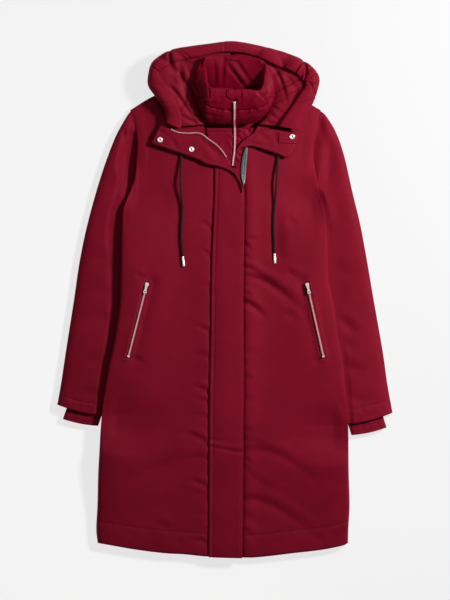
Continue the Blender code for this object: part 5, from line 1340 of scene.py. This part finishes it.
def build_zip_guard():
    """The zip's coated tape: two lips that meet over hidden teeth."""
    def place(u, v):
        y = mix(GUARD_Y[0], GUARD_Y[-1], v)
        return mix(curve(y, GUARD_Y, column(GUARD, "right_x")),
                   curve(y, GUARD_Y, column(GUARD, "left_x")), u), y

    def top(x, y):
        a = curve(y, GUARD_Y, column(GUARD, "right_x"))
        b = curve(y, GUARD_Y, column(GUARD, "left_x"))
        share = np.clip((x - a) / (b - a), 0.0, 1.0)
        slot = -0.9 * np.exp(-((share - 0.5) / 0.06) ** 2)
        return front_level(x, y) + LAY_GAP + 2.4 + 0.9 * np.sin(np.pi * share) + slot

    piece = lay_sheet("zip_guard_tape", "guard", place, top,
                      lambda x, y: front_level(x, y) + LAY_GAP, (10.0, 83.0), 0.6, 1.2, 0.8)
    belongs(piece, "guard_grey", "zip_guard")


# ------------------------------------------------------- chin guard and loop
def front_spot(x, rise, out):
    """A point over the collar's front at a given X."""
    right = COLLAR[0].base_x
    left = COLLAR[-1].base_x
    last = len(COLLAR) - 1.0
    share = np.clip((x - right) / (left - right), 0.0, 1.0)[..., None]
    a = collar_outer(np.clip((right - x) / 28.0, 0.0, None), rise, out)
    b = collar_outer(last - np.clip((x - left) / 22.0, 0.0, None), rise, out)
    return mix(a, b, share)


def build_chin_guard():
    kk, jj = np.meshgrid(np.linspace(0, 1, 46), np.linspace(0, 1, 28), indexing="ij")
    x = mix(3.0, 32.0, kk)
    low = 0.80 - 0.07 * np.sin(np.pi * np.minimum(kk * 1.15, 1.0))
    rise = mix(low, 0.97, jj)
    bump = 0.35 * noise(kk * 29.0, jj * 18.0, 7.0, 91)
    edge = np.minimum(np.minimum(kk, 1 - kk) * 29.0, np.minimum(jj, 1 - jj) * 18.0)
    bump -= 0.35 * np.exp(-((edge - 2.2) / 0.6) ** 2)
    piece = shell_between("chin_guard_cloth", "nylon", front_spot(x, rise, 3.2 + bump),
                          front_spot(x, rise, 1.0 + 0.0 * x), 1, (29.0, 18.0))
    belongs(piece, "nylon_cloth", "chin_guard")


def build_hanger_loop():
    kk, jj = np.meshgrid(np.linspace(0, 1, 40), np.linspace(0, 1, 9), indexing="ij")
    position = mix(7.62, 8.42, kk)
    rise = mix(0.87, 0.95, jj)
    arch = 1.6 * np.sin(np.pi * kk)
    rib = 0.18 * np.sin(jj * np.pi * 4.0) ** 2
    normal = collar_normal(position, rise)
    face = collar_surface(position, rise) - normal * COLLAR_WALL
    piece = shell_between("hanger_loop_cloth", "nylon",
                          face - normal * (2.0 + arch + rib)[..., None],
                          face - normal * (0.7 + arch)[..., None], 1, (32.0, 6.0))
    belongs(piece, "nylon_cloth", "hanger_loop")


# ----------------------------------------------------------------- hard parts
def frames_on(path, ups):
    """Across, along and up directions at each point of a path."""
    path = np.asarray(path, float)
    along = np.gradient(path, axis=0)
    along /= np.linalg.norm(along, axis=1, keepdims=True)
    ups = np.asarray(ups, float)
    across = np.cross(along, ups)
    across /= np.linalg.norm(across, axis=1, keepdims=True)
    return across, along, np.cross(across, along)


def resample(path, ups, pitch):
    """A path at an even pitch, with its up directions."""
    path = np.asarray(path, float)
    ups = np.asarray(ups, float)
    steps = np.concatenate(((0.0,), np.cumsum(np.linalg.norm(np.diff(path, axis=0), axis=1))))
    count = max(int(steps[-1] / pitch), 2)
    at = np.linspace(0.0, steps[-1], count + 1)
    line = np.stack([curve(at, steps, path[:, c]) for c in range(3)], axis=-1)
    lift = np.stack([np.interp(at, steps, ups[:, c]) for c in range(3)], axis=-1)
    return line, lift


TOOTH = (                       # outline of one zip tooth: across, along
    (0.0, -0.36), (0.9, -0.36), (1.15, -0.5), (1.6, -0.5), (1.75, -0.3), (1.75, 0.3),
    (1.6, 0.5), (1.15, 0.5), (0.9, 0.36), (0.0, 0.36),
)


def build_teeth(name, node, path, ups, pitch, scale, thick, sides=(-1, 1), body=BODY_NAME):
    """Metal zip teeth, the two rows half a pitch apart, on a woven tape."""
    line, lift = resample(path, ups, 0.5 * pitch)
    across, along, up = frames_on(line, lift)
    points = []
    faces = []
    count = len(TOOTH)
    for k in range(1, len(line) - 1):
        side = 1 if k % 2 else -1
        if side not in sides:
            continue
        for level, shrink in ((0.15, 0.9), (0.35, 1.0), (0.8, 1.0), (1.0, 0.84)):
            for a, b in TOOTH:
                a = (a - 0.55) * shrink + 0.55
                spot = (line[k] + across[k] * side * (a - 0.45) * scale
                        + along[k] * b * shrink * scale + up[k] * thick * level)
                points.append(spot)
        first = len(points) - 4 * count
        for ring in range(3):
            for i in range(count):
                j = (i + 1) % count
                base = first + ring * count
                faces.append((base + i, base + j, base + count + j, base + count + i))
        faces.append(tuple(range(first + count - 1, first - 1, -1)))
        faces.append(tuple(range(first + 3 * count, first + 4 * count)))
    piece = add_piece(name, points, faces, "teeth", smooth=False)
    belongs(piece, "nickel", node, body=body)
    return line, across, up


def build_tape(name, line, across, up, half, thick, material="shell", slot="shell_cloth",
               shift=0.0):
    """The narrow woven tape under a zip's teeth."""
    rings = []
    for spot, a, u in zip(line, across, up):
        profile = ((-half, 0.0), (-0.5 * half, 0.12), (0.5 * half, 0.12), (half, 0.0),
                   (half, -thick), (0.0, -thick), (-half, -thick))
        rings.append([spot + a * (x + shift) + u * z for x, z in profile])
    length = float(np.linalg.norm(np.diff(line, axis=0), axis=1).sum())
    piece = ring_body(name, material, rings, (length, 4.0 * half))
    belongs(piece, slot)


def pocket_height(x, y):
    """The zip's teeth start here, over the fronts' solid."""
    depth = np.zeros(np.shape(x))
    for fold in POCKET_FOLDS:
        away = line_distance(x, y, fold.x0, fold.y0, fold.x1, fold.y1)
        depth = np.maximum(depth, fold.depth * np.exp(-(away / fold.half_width) ** 2))
    return front_level(x, y) - 0.6 * depth + 1.1


Fold = namedtuple("Fold", "x0 y0 x1 y1 half_width depth")
POCKET_FOLDS = rows_of(         # folds of the solid that reach the pocket zips
    Fold,
    (88, 38, 120, 17, 12, 6.0), (120, 17, 162, -25, 13, 4.5), (-191, -126, -170, -137, 9, 3.0),
    (-180, 56, -170, 46, 8, 2.0),
)


def build_pockets():
    for side, row in POCKETS.items():
        share = np.linspace(0.0, 1.0, 24)
        x = mix(row.top_x, row.end_x, share)
        y = mix(row.top_y, row.end_y, share)
        path = np.stack((x, y, pocket_height(x, y)), axis=-1)
        ups = np.tile((0.0, 0.0, 1.0), (24, 1))
        line, across, up = build_teeth(f"pocket_teeth_{side}", f"pocket_zip_{side}", path, ups,
                                       2.3, 1.45, 1.7)
        build_tape(f"pocket_tape_{side}", line, across, up, 4.6, 1.0)


PULL_HINGES = {"r": (-163.71, 31.7, 39.58), "l": (172.42, 30.84, 43.12)}
WINDOW_ALONG = 14.6             # the lower opening of a pull tab, from its hinge
WINDOW_UP = 0.62
WINDOW_RADIUS = 1.75


def build_pull_window_shade():
    """Painted shade: dark discs in the openings of the pocket pull tabs, standing for the shade
    seen through them.
    """
    x_axis, y_axis, z_axis = np.eye(3)
    for side, row in POCKETS.items():
        run = np.array((row.end_x - row.top_x, row.end_y - row.top_y, 0.0))
        run /= np.linalg.norm(run)
        centre = np.array(PULL_HINGES[side]) + run * WINDOW_ALONG + z_axis * WINDOW_UP
        rings = lathe_rings(((1.0, 0.0), (0.9, 1.0), (0.3, 1.0)), WINDOW_RADIUS, centre,
                            x_axis, y_axis, z_axis, 0.25, 20)
        piece = ring_body(f"pocket_pull_window_{side}", "dark", rings, (2.0, 8.0))
        belongs(piece, "nickel", body=f"pocket_{side}_pull")


def collar_front(rise, out):
    a = collar_outer(np.zeros(rise.shape), rise, out)
    b = collar_outer(np.full(rise.shape, len(COLLAR) - 1.0), rise, out)
    normal = (collar_normal(np.zeros(rise.shape), rise)
              + collar_normal(np.full(rise.shape, len(COLLAR) - 1.0), rise))
    return 0.5 * (a + b), normal


def build_inner_zip():
    rises = np.array((0.62, 0.52, 0.42, 0.32, 0.22, 0.12, 0.04))
    spots, normals = collar_front(rises, np.ones(rises.shape))
    path = [tuple(p) for p in spots]
    ups = [tuple(n) for n in normals]
    for y in (361.0, 350.0, 335.0, 320.0, 306.0, 293.0, 281.0):
        x = float(curve(y, BIB_Y, column(BIB, "zip_x")))
        level = float(front_level(np.array(x), np.array(y))) + LAY_GAP + BIB_THICK
        path.append((x, y, level + (2.2 if y > 360.0 else 0.7)))
        ups.append((0.0, 0.0, 1.0))
    line, across, up = build_teeth("inner_teeth", "inner_zip", path, ups, 2.3, 1.5, 1.6)
    build_tape("inner_tape", line, across, up, 4.2, 0.9, "nylon", "nylon_cloth")


def build_zip_edge():
    u = mix(0.11, 0.72, np.linspace(0.0, 1.0, 60))
    x, y = strip_place(LAPEL_RIGHT, u, np.full(u.shape, 0.94))
    path = np.stack((x, y, lapel_base(x, y) + 0.5), axis=-1)
    ups = np.tile((0.0, 0.0, 1.0), (60, 1))
    line, across, up = build_teeth("edge_teeth", "zip_edge", path, ups, 2.3, 1.5, 1.5, (-1,))
    build_tape("edge_tape", line, across, up, 2.4, 0.5, shift=1.4)


SnapRing = namedtuple("SnapRing", "radius height")
SNAP_PROFILE = rows_of(
    SnapRing,
    (1.0, 0.0), (1.0, 0.3), (0.98, 0.55), (0.93, 0.78), (0.84, 0.92), (0.74, 0.95),
    (0.66, 0.88), (0.62, 0.74), (0.6, 0.7), (0.5, 0.7), (0.46, 0.8), (0.38, 0.84), (0.32, 0.78),
    (0.29, 0.5), (0.28, 0.2), (0.1, 0.16),
)
SNAP_HEIGHT = 2.2


def lathe_rings(profile, radius, centre, across, along, up, height, sides=40):
    turn = np.linspace(0.0, 2.0 * np.pi, sides, endpoint=False)
    rings = []
    for r, h in profile:
        rings.append(centre + radius * r * (np.cos(turn)[:, None] * across
                                            + np.sin(turn)[:, None] * along) + up * height * h)
    return rings


def build_snaps():
    x_axis, y_axis, z_axis = np.eye(3)
    for snap in SNAPS:
        base = float(lapel_base(np.array(snap.x), np.array(snap.y))) + snap.over
        centre = np.array((snap.x, snap.y, base))
        rings = lathe_rings(SNAP_PROFILE, 0.5 * SNAP_DIAMETER, centre, x_axis, y_axis, z_axis,
                            SNAP_HEIGHT)
        piece = ring_body(f"{snap.name}_cap", "nickel", rings, (10.0, 30.0))
        belongs(piece, "nickel", snap.name)
        # The dark disc in each socket is painted shade, standing for the shade inside the socket's
        # hole.
        socket_shade = lathe_rings(((1.0, 0.0), (0.9, 1.0), (0.3, 1.0)), 2.2,
                           centre + z_axis * (0.3 * SNAP_HEIGHT), x_axis, y_axis, z_axis, 0.25, 20)
        piece = ring_body(f"{snap.name}_socket", "dark", socket_shade, (2.0, 8.0))
        belongs(piece, "nickel")


# ---------------------------------------------------------------------- cords
CORD_STEPS = 18


CORD_STAND = 6.0                # it stands off the cloth where it comes from the lapel
CORD_STAND_Y = 252.0
CORD_STAND_RUN = 38.0


def cord_route(rows):
    """Centre line of a drawcord, in millimetres."""
    spot = along_table(rows, np.linspace(0.0, len(rows) - 1, CORD_STEPS))
    height = front_level(spot.x, spot.y) + 0.5 * CORD_DIAMETER + spot.over
    height = height + CORD_STAND * np.exp(-((spot.y - CORD_STAND_Y) / CORD_STAND_RUN) ** 2)
    return np.stack((spot.x, spot.y, height), axis=-1)


AGLET_PROFILE = (
    (0.84, 0.0), (0.97, 0.02), (1.0, 0.05), (1.0, 0.2), (0.93, 0.215), (0.93, 0.235),
    (1.0, 0.25), (1.0, 0.9), (0.97, 0.97), (0.86, 1.0), (0.6, 1.0),
)
BRAID_PITCH = 7.5
BRAID_STRANDS = 4
BRAID_STEP = 0.55
BRAID_SIDES = 28


def build_cord(side, rows):
    """A round braided cord and its metal end, hanging out from under a lapel."""
    route = cord_route(rows)
    steps = np.concatenate(((0.0,), np.cumsum(np.linalg.norm(np.diff(route, axis=0), axis=1))))
    length = float(steps[-1])
    at = np.linspace(0.0, length, int(length / BRAID_STEP))
    line = np.stack([curve(at, steps, route[:, c]) for c in range(3)], axis=-1)
    across, _, up = frames_on(line, np.tile((0.0, 0.0, 1.0), (len(line), 1)))
    turn = np.linspace(0.0, 2.0 * np.pi, BRAID_SIDES, endpoint=False)
    ss, tt = np.meshgrid(at, turn, indexing="ij")
    phase = 2.0 * np.pi * ss / BRAID_PITCH
    one = np.abs(np.sin(0.5 * (BRAID_STRANDS * tt + phase * 2.0)))
    two = np.abs(np.sin(0.5 * (BRAID_STRANDS * tt - phase * 2.0)))
    radius = 0.5 * CORD_DIAMETER * (0.93 + 0.09 * np.maximum(one, two) ** 0.7)
    rings = (line[:, None] + radius[..., None] * (np.cos(tt)[..., None] * across[:, None]
                                                  + np.sin(tt)[..., None] * up[:, None]))
    cord = ring_body(f"drawcord_{side}_braid", "cord", rings, (length, 15.0))
    belongs(cord, "cord_dark", f"drawcord_{side}")
    run = route[-1] - route[-2]
    run /= np.linalg.norm(run)
    a = np.cross(run, (0.0, 0.0, 1.0))
    a /= np.linalg.norm(a)
    tip = lathe_rings(AGLET_PROFILE, 0.5 * AGLET_DIAMETER, route[-1] + run * 0.35, a,
                      np.cross(a, run), run, AGLET_LENGTH, 32)
    aglet = ring_body(f"aglet_{side}_tip", "nickel", tip, (AGLET_LENGTH, 19.0))
    belongs(aglet, "nickel", f"aglet_{side}")


# ------------------------------------------------------------------- stitches
STITCH_LENGTH = 2.6
STITCH_PITCH = 3.4
STITCH_WIDTH = 0.55


def add_stitches(name, lines, material="thread"):
    """Short thread capsules along lines of points that lie on the cloth."""
    points = []
    faces = []
    turns = np.linspace(0.0, 2.0 * np.pi, 5, endpoint=False)
    for line in lines:
        line, lift = resample(line, np.tile((0.0, 0.0, 1.0), (len(line), 1)), STITCH_PITCH)
        across, along, up = frames_on(line, lift)
        for spot, a, d, u in zip(line, across, along, up):
            first = len(points)
            for end, wide, high in ((-0.5, 0.35, -0.16), (-0.3, 1.0, 0.1), (0.3, 1.0, 0.1),
                                    (0.5, 0.35, -0.16)):
                for t in turns:
                    points.append(spot + d * end * STITCH_LENGTH
                                  + a * math.cos(t) * 0.5 * STITCH_WIDTH * wide
                                  + u * (high + math.sin(t) * 0.4 * STITCH_WIDTH * wide))
            for ring in range(3):
                for i in range(5):
                    j = (i + 1) % 5
                    base = first + ring * 5
                    faces.append((base + i, base + j, base + 5 + j, base + 5 + i))
            faces.append(tuple(range(first + 4, first - 1, -1)))
            faces.append(tuple(range(first + 15, first + 20)))
    piece = add_piece(name, points, faces, material)
    belongs(piece, "shell_cloth")


def on_cloth(x, y, height):
    return np.stack((x, y, height(x, y)), axis=-1)


def build_stitches():
    y = np.linspace(-534.0, 268.0, 400)
    seam, free = placket_edges(y)
    x = seam + PLACKET_STITCH
    lines = [on_cloth(x, y, placket_top)]
    y = np.linspace(-534.0, 232.0, 380)
    seam, free = placket_edges(y)
    lines.append(on_cloth(free - PLACKET_EDGE_STITCH, y, placket_top))
    add_stitches("placket_stitches", lines)
    lines = []
    for low, high in ((-262.0, -36.0), (40.0, 252.0)):
        x = np.linspace(low, high, 140)
        lines.append(on_cloth(x, hem_y(x) + HEM_BAND, front_top))
    add_stitches("hem_stitches", lines)
    lines = []
    for rows, ends, share in ((LAPEL_RIGHT, (0.03, 0.93), 0.12), (LAPEL_RIGHT, (0.03, 0.9), 0.84),
                              (LAPEL_LEFT, (0.05, 0.96), 0.1)):
        u = np.linspace(ends[0], ends[1], 160)
        x, y = strip_place(rows, u, np.full(u.shape, share))
        lines.append(on_cloth(x, y, lapel_top))
    for rows, u_at in ((LAPEL_RIGHT, 0.022), (LAPEL_LEFT, 0.965)):
        v = np.linspace(0.12, 0.88, 30)
        x, y = strip_place(rows, np.full(v.shape, u_at), v)
        lines.append(on_cloth(x, y, lapel_top))
    edge = ((0.06, 0.1), (0.94, 0.1), (0.94, 0.9), (0.06, 0.9), (0.06, 0.1))
    for (u0, v0), (u1, v1) in zip(edge, edge[1:]):
        x, y = tab_place(np.linspace(u0, u1, 20), np.linspace(v0, v1, 20))
        lines.append(on_cloth(x, y, tab_top))
    x, y = tab_place(np.linspace(0.06, 0.6, 20), np.full(20, 0.5))
    lines.append(on_cloth(x, y, tab_top))
    add_stitches("lapel_stitches", lines)
    lines = []
    for side in (-1, 1):
        share = np.linspace(0.12, 0.97, 80)
        along = np.full(share.shape, 0.955)
        x, y = sleeve_plan(side, along, share)
        high = sleeve_heights(side, along, share, x, y)[0]
        lines.append(np.stack((x, y, high), axis=-1))
    add_stitches("cuff_stitches", lines)
    lines = []
    for row in POCKETS.values():
        run = np.array((row.end_x - row.top_x, row.end_y - row.top_y))
        run /= np.hypot(*run)
        square = np.array((-run[1], run[0]))
        for out in (-7.4, 7.4):
            start = np.array((row.top_x, row.top_y)) - run * 6.0 + square * out
            end = np.array((row.end_x, row.end_y)) + run * 5.0 + square * out
            x = np.linspace(start[0], end[0], 90)
            y = np.linspace(start[1], end[1], 90)
            lines.append(on_cloth(x, y, front_top))
        for spot in (np.array((row.top_x, row.top_y)) - run * 6.0,
                     np.array((row.end_x, row.end_y)) + run * 5.0):
            x = np.linspace(spot[0] - square[0] * 7.4, spot[0] + square[0] * 7.4, 12)
            y = np.linspace(spot[1] - square[1] * 7.4, spot[1] + square[1] * 7.4, 12)
            lines.append(on_cloth(x, y, front_top))
    add_stitches("pocket_stitches", lines)


# ------------------------------------------------------------------ materials
MATERIALS = {}


def new_material(name, colour, rough, metal=0.0, sheen=0.0, specular=0.5):
    material = bpy.data.materials.new(name)
    material.use_nodes = True
    shader = material.node_tree.nodes["Principled BSDF"]
    shader.inputs["Base Color"].default_value = (*colour, 1.0)
    shader.inputs["Roughness"].default_value = rough
    shader.inputs["Metallic"].default_value = metal
    shader.inputs["Sheen Weight"].default_value = sheen
    shader.inputs["Sheen Roughness"].default_value = 0.45
    shader.inputs["Specular IOR Level"].default_value = specular
    return material, material.node_tree, shader


def cloth_material(name, dark, light, rough, sheen, weave, grain, specular=0.35):
    """Woven cloth: two shades in soft patches, fine grain, and a weave's bump."""
    material, tree, shader = new_material(name, light, rough, 0.0, sheen, specular)
    shader.inputs["Sheen Tint"].default_value = (1.0, 0.42, 0.48, 1.0)
    nodes = tree.nodes
    links = tree.links
    spot = nodes.new("ShaderNodeTexCoord")
    patches = nodes.new("ShaderNodeTexNoise")
    patches.inputs["Scale"].default_value = 16.0
    patches.inputs["Detail"].default_value = 4.0
    links.new(spot.outputs["Object"], patches.inputs["Vector"])
    fine = nodes.new("ShaderNodeTexNoise")
    fine.inputs["Scale"].default_value = 420.0
    fine.inputs["Detail"].default_value = 3.0
    links.new(spot.outputs["Object"], fine.inputs["Vector"])
    both = nodes.new("ShaderNodeMix")
    both.inputs["Factor"].default_value = 0.4
    links.new(patches.outputs["Fac"], both.inputs["A"])
    links.new(fine.outputs["Fac"], both.inputs["B"])
    ramp = nodes.new("ShaderNodeValToRGB")
    ramp.color_ramp.elements[0].position = 0.36
    ramp.color_ramp.elements[0].color = (*dark, 1.0)
    ramp.color_ramp.elements[1].position = 0.64
    ramp.color_ramp.elements[1].color = (*light, 1.0)
    links.new(both.outputs["Result"], ramp.inputs["Fac"])
    links.new(ramp.outputs["Color"], shader.inputs["Base Color"])
    gloss = nodes.new("ShaderNodeMapRange")
    gloss.inputs["To Min"].default_value = rough - 0.05
    gloss.inputs["To Max"].default_value = rough + 0.07
    links.new(fine.outputs["Fac"], gloss.inputs["Value"])
    links.new(gloss.outputs["Result"], shader.inputs["Roughness"])
    cloth = nodes.new("ShaderNodeUVMap")
    cloth.uv_map = "cloth"
    threads = []
    for direction in ("X", "Y"):
        wave = nodes.new("ShaderNodeTexWave")
        wave.bands_direction = direction
        wave.inputs["Scale"].default_value = weave
        wave.inputs["Distortion"].default_value = 0.6
        wave.inputs["Detail"].default_value = 1.0
        links.new(cloth.outputs["UV"], wave.inputs["Vector"])
        threads.append(wave)
    cross = nodes.new("ShaderNodeMath")
    cross.operation = "MAXIMUM"
    links.new(threads[0].outputs["Fac"], cross.inputs[0])
    links.new(threads[1].outputs["Fac"], cross.inputs[1])
    first = nodes.new("ShaderNodeBump")
    first.inputs["Strength"].default_value = 0.25
    first.inputs["Distance"].default_value = 0.0002
    links.new(cross.outputs["Value"], first.inputs["Height"])
    crumple = nodes.new("ShaderNodeTexNoise")
    crumple.inputs["Scale"].default_value = 75.0
    crumple.inputs["Detail"].default_value = 5.0
    crumple.inputs["Roughness"].default_value = 0.55
    links.new(spot.outputs["Object"], crumple.inputs["Vector"])
    second = nodes.new("ShaderNodeBump")
    second.inputs["Strength"].default_value = grain
    second.inputs["Distance"].default_value = 0.0015
    links.new(crumple.outputs["Fac"], second.inputs["Height"])
    links.new(first.outputs["Normal"], second.inputs["Normal"])
    links.new(second.outputs["Normal"], shader.inputs["Normal"])
    return material


def hard_material(name, dark, light, rough, metal, scale, grain, specular=0.5):
    material, tree, shader = new_material(name, light, rough, metal, 0.0, specular)
    nodes = tree.nodes
    links = tree.links
    spot = nodes.new("ShaderNodeTexCoord")
    fine = nodes.new("ShaderNodeTexNoise")
    fine.inputs["Scale"].default_value = scale
    fine.inputs["Detail"].default_value = 4.0
    links.new(spot.outputs["Object"], fine.inputs["Vector"])
    ramp = nodes.new("ShaderNodeValToRGB")
    ramp.color_ramp.elements[0].position = 0.35
    ramp.color_ramp.elements[0].color = (*dark, 1.0)
    ramp.color_ramp.elements[1].position = 0.65
    ramp.color_ramp.elements[1].color = (*light, 1.0)
    links.new(fine.outputs["Fac"], ramp.inputs["Fac"])
    links.new(ramp.outputs["Color"], shader.inputs["Base Color"])
    gloss = nodes.new("ShaderNodeMapRange")
    gloss.inputs["To Min"].default_value = max(rough - 0.08, 0.05)
    gloss.inputs["To Max"].default_value = rough + 0.1
    links.new(fine.outputs["Fac"], gloss.inputs["Value"])
    links.new(gloss.outputs["Result"], shader.inputs["Roughness"])
    bump = nodes.new("ShaderNodeBump")
    bump.inputs["Strength"].default_value = grain
    bump.inputs["Distance"].default_value = 0.0003
    links.new(fine.outputs["Fac"], bump.inputs["Height"])
    links.new(bump.outputs["Normal"], shader.inputs["Normal"])
    return material


def make_materials():
    MATERIALS["shell"] = cloth_material("shell_cloth", (0.166, 0.0026, 0.0135),
                                        (0.200, 0.0036, 0.0172), 0.66, 0.02, 900.0, 0.10, 0.06)
    MATERIALS["lining"] = cloth_material("lining_cloth", (0.162, 0.0026, 0.0132),
                                         (0.197, 0.0036, 0.0168), 0.60, 0.02, 1100.0, 0.14, 0.08)
    MATERIALS["nylon"] = cloth_material("nylon_cloth", (0.146, 0.0012, 0.0115),
                                        (0.178, 0.0020, 0.0150), 0.46, 0.0, 1500.0, 0.12, 0.05)
    MATERIALS["cord"] = cloth_material("cord_dark", (0.014, 0.009, 0.010),
                                       (0.026, 0.016, 0.017), 0.75, 0.0, 2400.0, 0.3, 0.06)
    MATERIALS["guard"] = hard_material("guard_grey", (0.045, 0.06, 0.06), (0.07, 0.09, 0.088),
                                       0.27, 0.0, 300.0, 0.15)
    MATERIALS["nickel"] = hard_material("nickel", (0.62, 0.56, 0.53), (0.80, 0.73, 0.69),
                                        0.25, 1.0, 700.0, 0.12)
    # teeth: nickel tinted pink; the tint is a painted reflection of the red cloth around them,
    # together with the cloth showing between the teeth
    MATERIALS["teeth"] = hard_material("teeth", (0.76, 0.47, 0.46), (0.96, 0.62, 0.60),
                                       0.27, 1.0, 700.0, 0.12)
    # dark: painted shade, used in the snap sockets' holes and in the pull tabs' openings
    MATERIALS["dark"] = hard_material("painted_shade", (0.012, 0.012, 0.012),
                                      (0.03, 0.03, 0.03), 0.5, 0.0, 500.0, 0.2)
    MATERIALS["thread"] = hard_material("thread", (0.15, 0.004, 0.014), (0.21, 0.008, 0.024),
                                        0.5, 0.0, 900.0, 0.3)
    MATERIALS["floor"] = hard_material("floor", (0.155, 0.155, 0.155), (0.165, 0.165, 0.165),
                                       0.9, 0.0, 30.0, 0.02, 0.1)


# --------------------------------------------------- camera, light and floor
PICTURE_HEIGHT = 1.26           # metres that the picture's height spans
CAMERA_HEIGHT = 5.0
SENSOR = 36.0


def make_camera():
    data = bpy.data.cameras.new("camera")
    data.type = "PERSP"
    data.sensor_fit = "VERTICAL"
    data.sensor_height = SENSOR
    data.sensor_width = SENSOR
    data.lens = SENSOR * CAMERA_HEIGHT / PICTURE_HEIGHT
    data.clip_start = 0.1
    data.clip_end = 50.0
    camera = bpy.data.objects.new("camera", data)
    camera.location = (0.0, 0.0, CAMERA_HEIGHT + 0.02)
    bpy.context.scene.collection.objects.link(camera)
    bpy.context.scene.camera = camera


def add_light(name, place, aim, size, power, colour=(1.0, 1.0, 1.0)):
    data = bpy.data.lights.new(name, "AREA")
    data.shape = "DISK"
    data.size = size
    data.energy = power
    data.color = colour
    light = bpy.data.objects.new(name, data)
    light.location = place
    direction = np.array(aim) - np.array(place)
    light.rotation_mode = "QUATERNION"
    light.rotation_quaternion = Vector(direction).to_track_quat("-Z", "Y")
    bpy.context.scene.collection.objects.link(light)


FLOOR_GLOW = 0.755
FLOOR_ALBEDO = ((0.08, 0.265), (0.52, 0.165), (0.88, 0.125))   # paler away from the key
AMBIENT = 0.06                  # what the surroundings add to cloth in shadow
BACKDROP = 0.8                  # what metal reflects and side views see


def make_stage():
    scene = bpy.context.scene
    scene.view_settings.view_transform = "Standard"
    world = bpy.data.worlds.new("world")
    world.use_nodes = True
    tree = world.node_tree
    back = tree.nodes["Background"]
    back.inputs["Color"].default_value = (1.0, 1.0, 1.0, 1.0)
    back.inputs["Strength"].default_value = AMBIENT
    bright = tree.nodes.new("ShaderNodeBackground")
    bright.inputs["Color"].default_value = (1.0, 1.0, 1.0, 1.0)
    bright.inputs["Strength"].default_value = BACKDROP
    rays = tree.nodes.new("ShaderNodeLightPath")
    choose = tree.nodes.new("ShaderNodeMixShader")
    tree.links.new(rays.outputs["Is Diffuse Ray"], choose.inputs[0])
    tree.links.new(bright.outputs["Background"], choose.inputs[1])
    tree.links.new(back.outputs["Background"], choose.inputs[2])
    tree.links.new(choose.outputs["Shader"], tree.nodes["World Output"].inputs["Surface"])
    scene.world = world
    mesh = bpy.data.meshes.new("floor")
    half = 6.0
    mesh.from_pydata([(-half, -half, 0.0), (half, -half, 0.0), (half, half, 0.0),
                      (-half, half, 0.0)], [], [(0, 1, 2, 3)])
    mesh.materials.append(MATERIALS["floor"])
    floor = bpy.data.objects.new("floor", mesh)
    floor.location = (0.0, 0.0, -0.0006)
    scene.collection.objects.link(floor)
    shader = MATERIALS["floor"].node_tree.nodes["Principled BSDF"]
    tree = MATERIALS["floor"].node_tree
    spot = tree.nodes.new("ShaderNodeTexCoord")
    turn = tree.nodes.new("ShaderNodeMapping")
    turn.inputs["Rotation"].default_value = (0.0, 0.0, -0.513)
    turn.inputs["Scale"].default_value = (1.0 / 1.2, 1.0 / 1.2, 1.0)
    turn.inputs["Location"].default_value = (0.583, 0.0, 0.0)
    run = tree.nodes.new("ShaderNodeTexGradient")
    ramp = tree.nodes.new("ShaderNodeValToRGB")
    ramp.color_ramp.elements.new(0.5)
    for stop, (place, tone) in zip(ramp.color_ramp.elements, FLOOR_ALBEDO):
        stop.position = place
        stop.color = (tone, tone, tone, 1.0)
    tree.links.new(spot.outputs["Object"], turn.inputs["Vector"])
    tree.links.new(turn.outputs["Vector"], run.inputs["Vector"])
    tree.links.new(run.outputs["Fac"], ramp.inputs["Fac"])
    tree.links.new(ramp.outputs["Color"], shader.inputs["Base Color"])
    shader.inputs["Emission Color"].default_value = (1.0, 1.0, 1.0, 1.0)
    shader.inputs["Emission Strength"].default_value = FLOOR_GLOW
    add_light("key", (1.42, 0.78, 1.43), (0.05, 0.1, 0.0), 0.36, 56.0)
    add_light("top", (0.1, 1.3, 1.7), (0.0, 0.15, 0.0), 1.2, 6.0)


# ---------------------------------------------------------------------- build
make_materials()
make_camera()
for cord_side, cord_rows in (("r", CORD_RIGHT), ("l", CORD_LEFT)):
    build_cord(cord_side, cord_rows)
make_stage()
build_body()
build_placket()
for sleeve_side, sleeve_name in ((-1, "sleeve_r"), (1, "sleeve_l")):
    build_sleeve(sleeve_side, sleeve_name)
    build_storm_cuff(sleeve_side, sleeve_name.replace("sleeve", "storm_cuff"))
build_rim()
build_shell_panel("hood_side_r", SHELL_FIRST_ROW, CENTRE_FIRST_ROW - 0.012, 60)
build_shell_panel("hood_centre", CENTRE_FIRST_ROW + 0.012, CENTRE_LAST_ROW - 0.012, 50)
build_shell_panel("hood_side_l", CENTRE_LAST_ROW + 0.012, SHELL_LAST_ROW, 66)
build_lining("hood_lining_r", (0.05, 10.0), (2.0, 7.95), (190.0, 75.0))
build_lining("hood_lining_l", (10.1, 20.95), (8.05, 14.0), (200.0, 75.0))
build_collar()
build_chest()
build_tab()
build_zip_guard()
build_chin_guard()
build_hanger_loop()
build_pockets()
build_pull_window_shade()
build_inner_zip()
build_zip_edge()
build_snaps()
build_stitches()

for node in ("pocket_r_slider", "pocket_l_slider", "pocket_r_pull", "pocket_l_pull",
             "inner_slider", "inner_pull", "pocket_stop_r", "pocket_stop_l"):
    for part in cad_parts[node].material_slots:
        part.material = MATERIALS["nickel"]
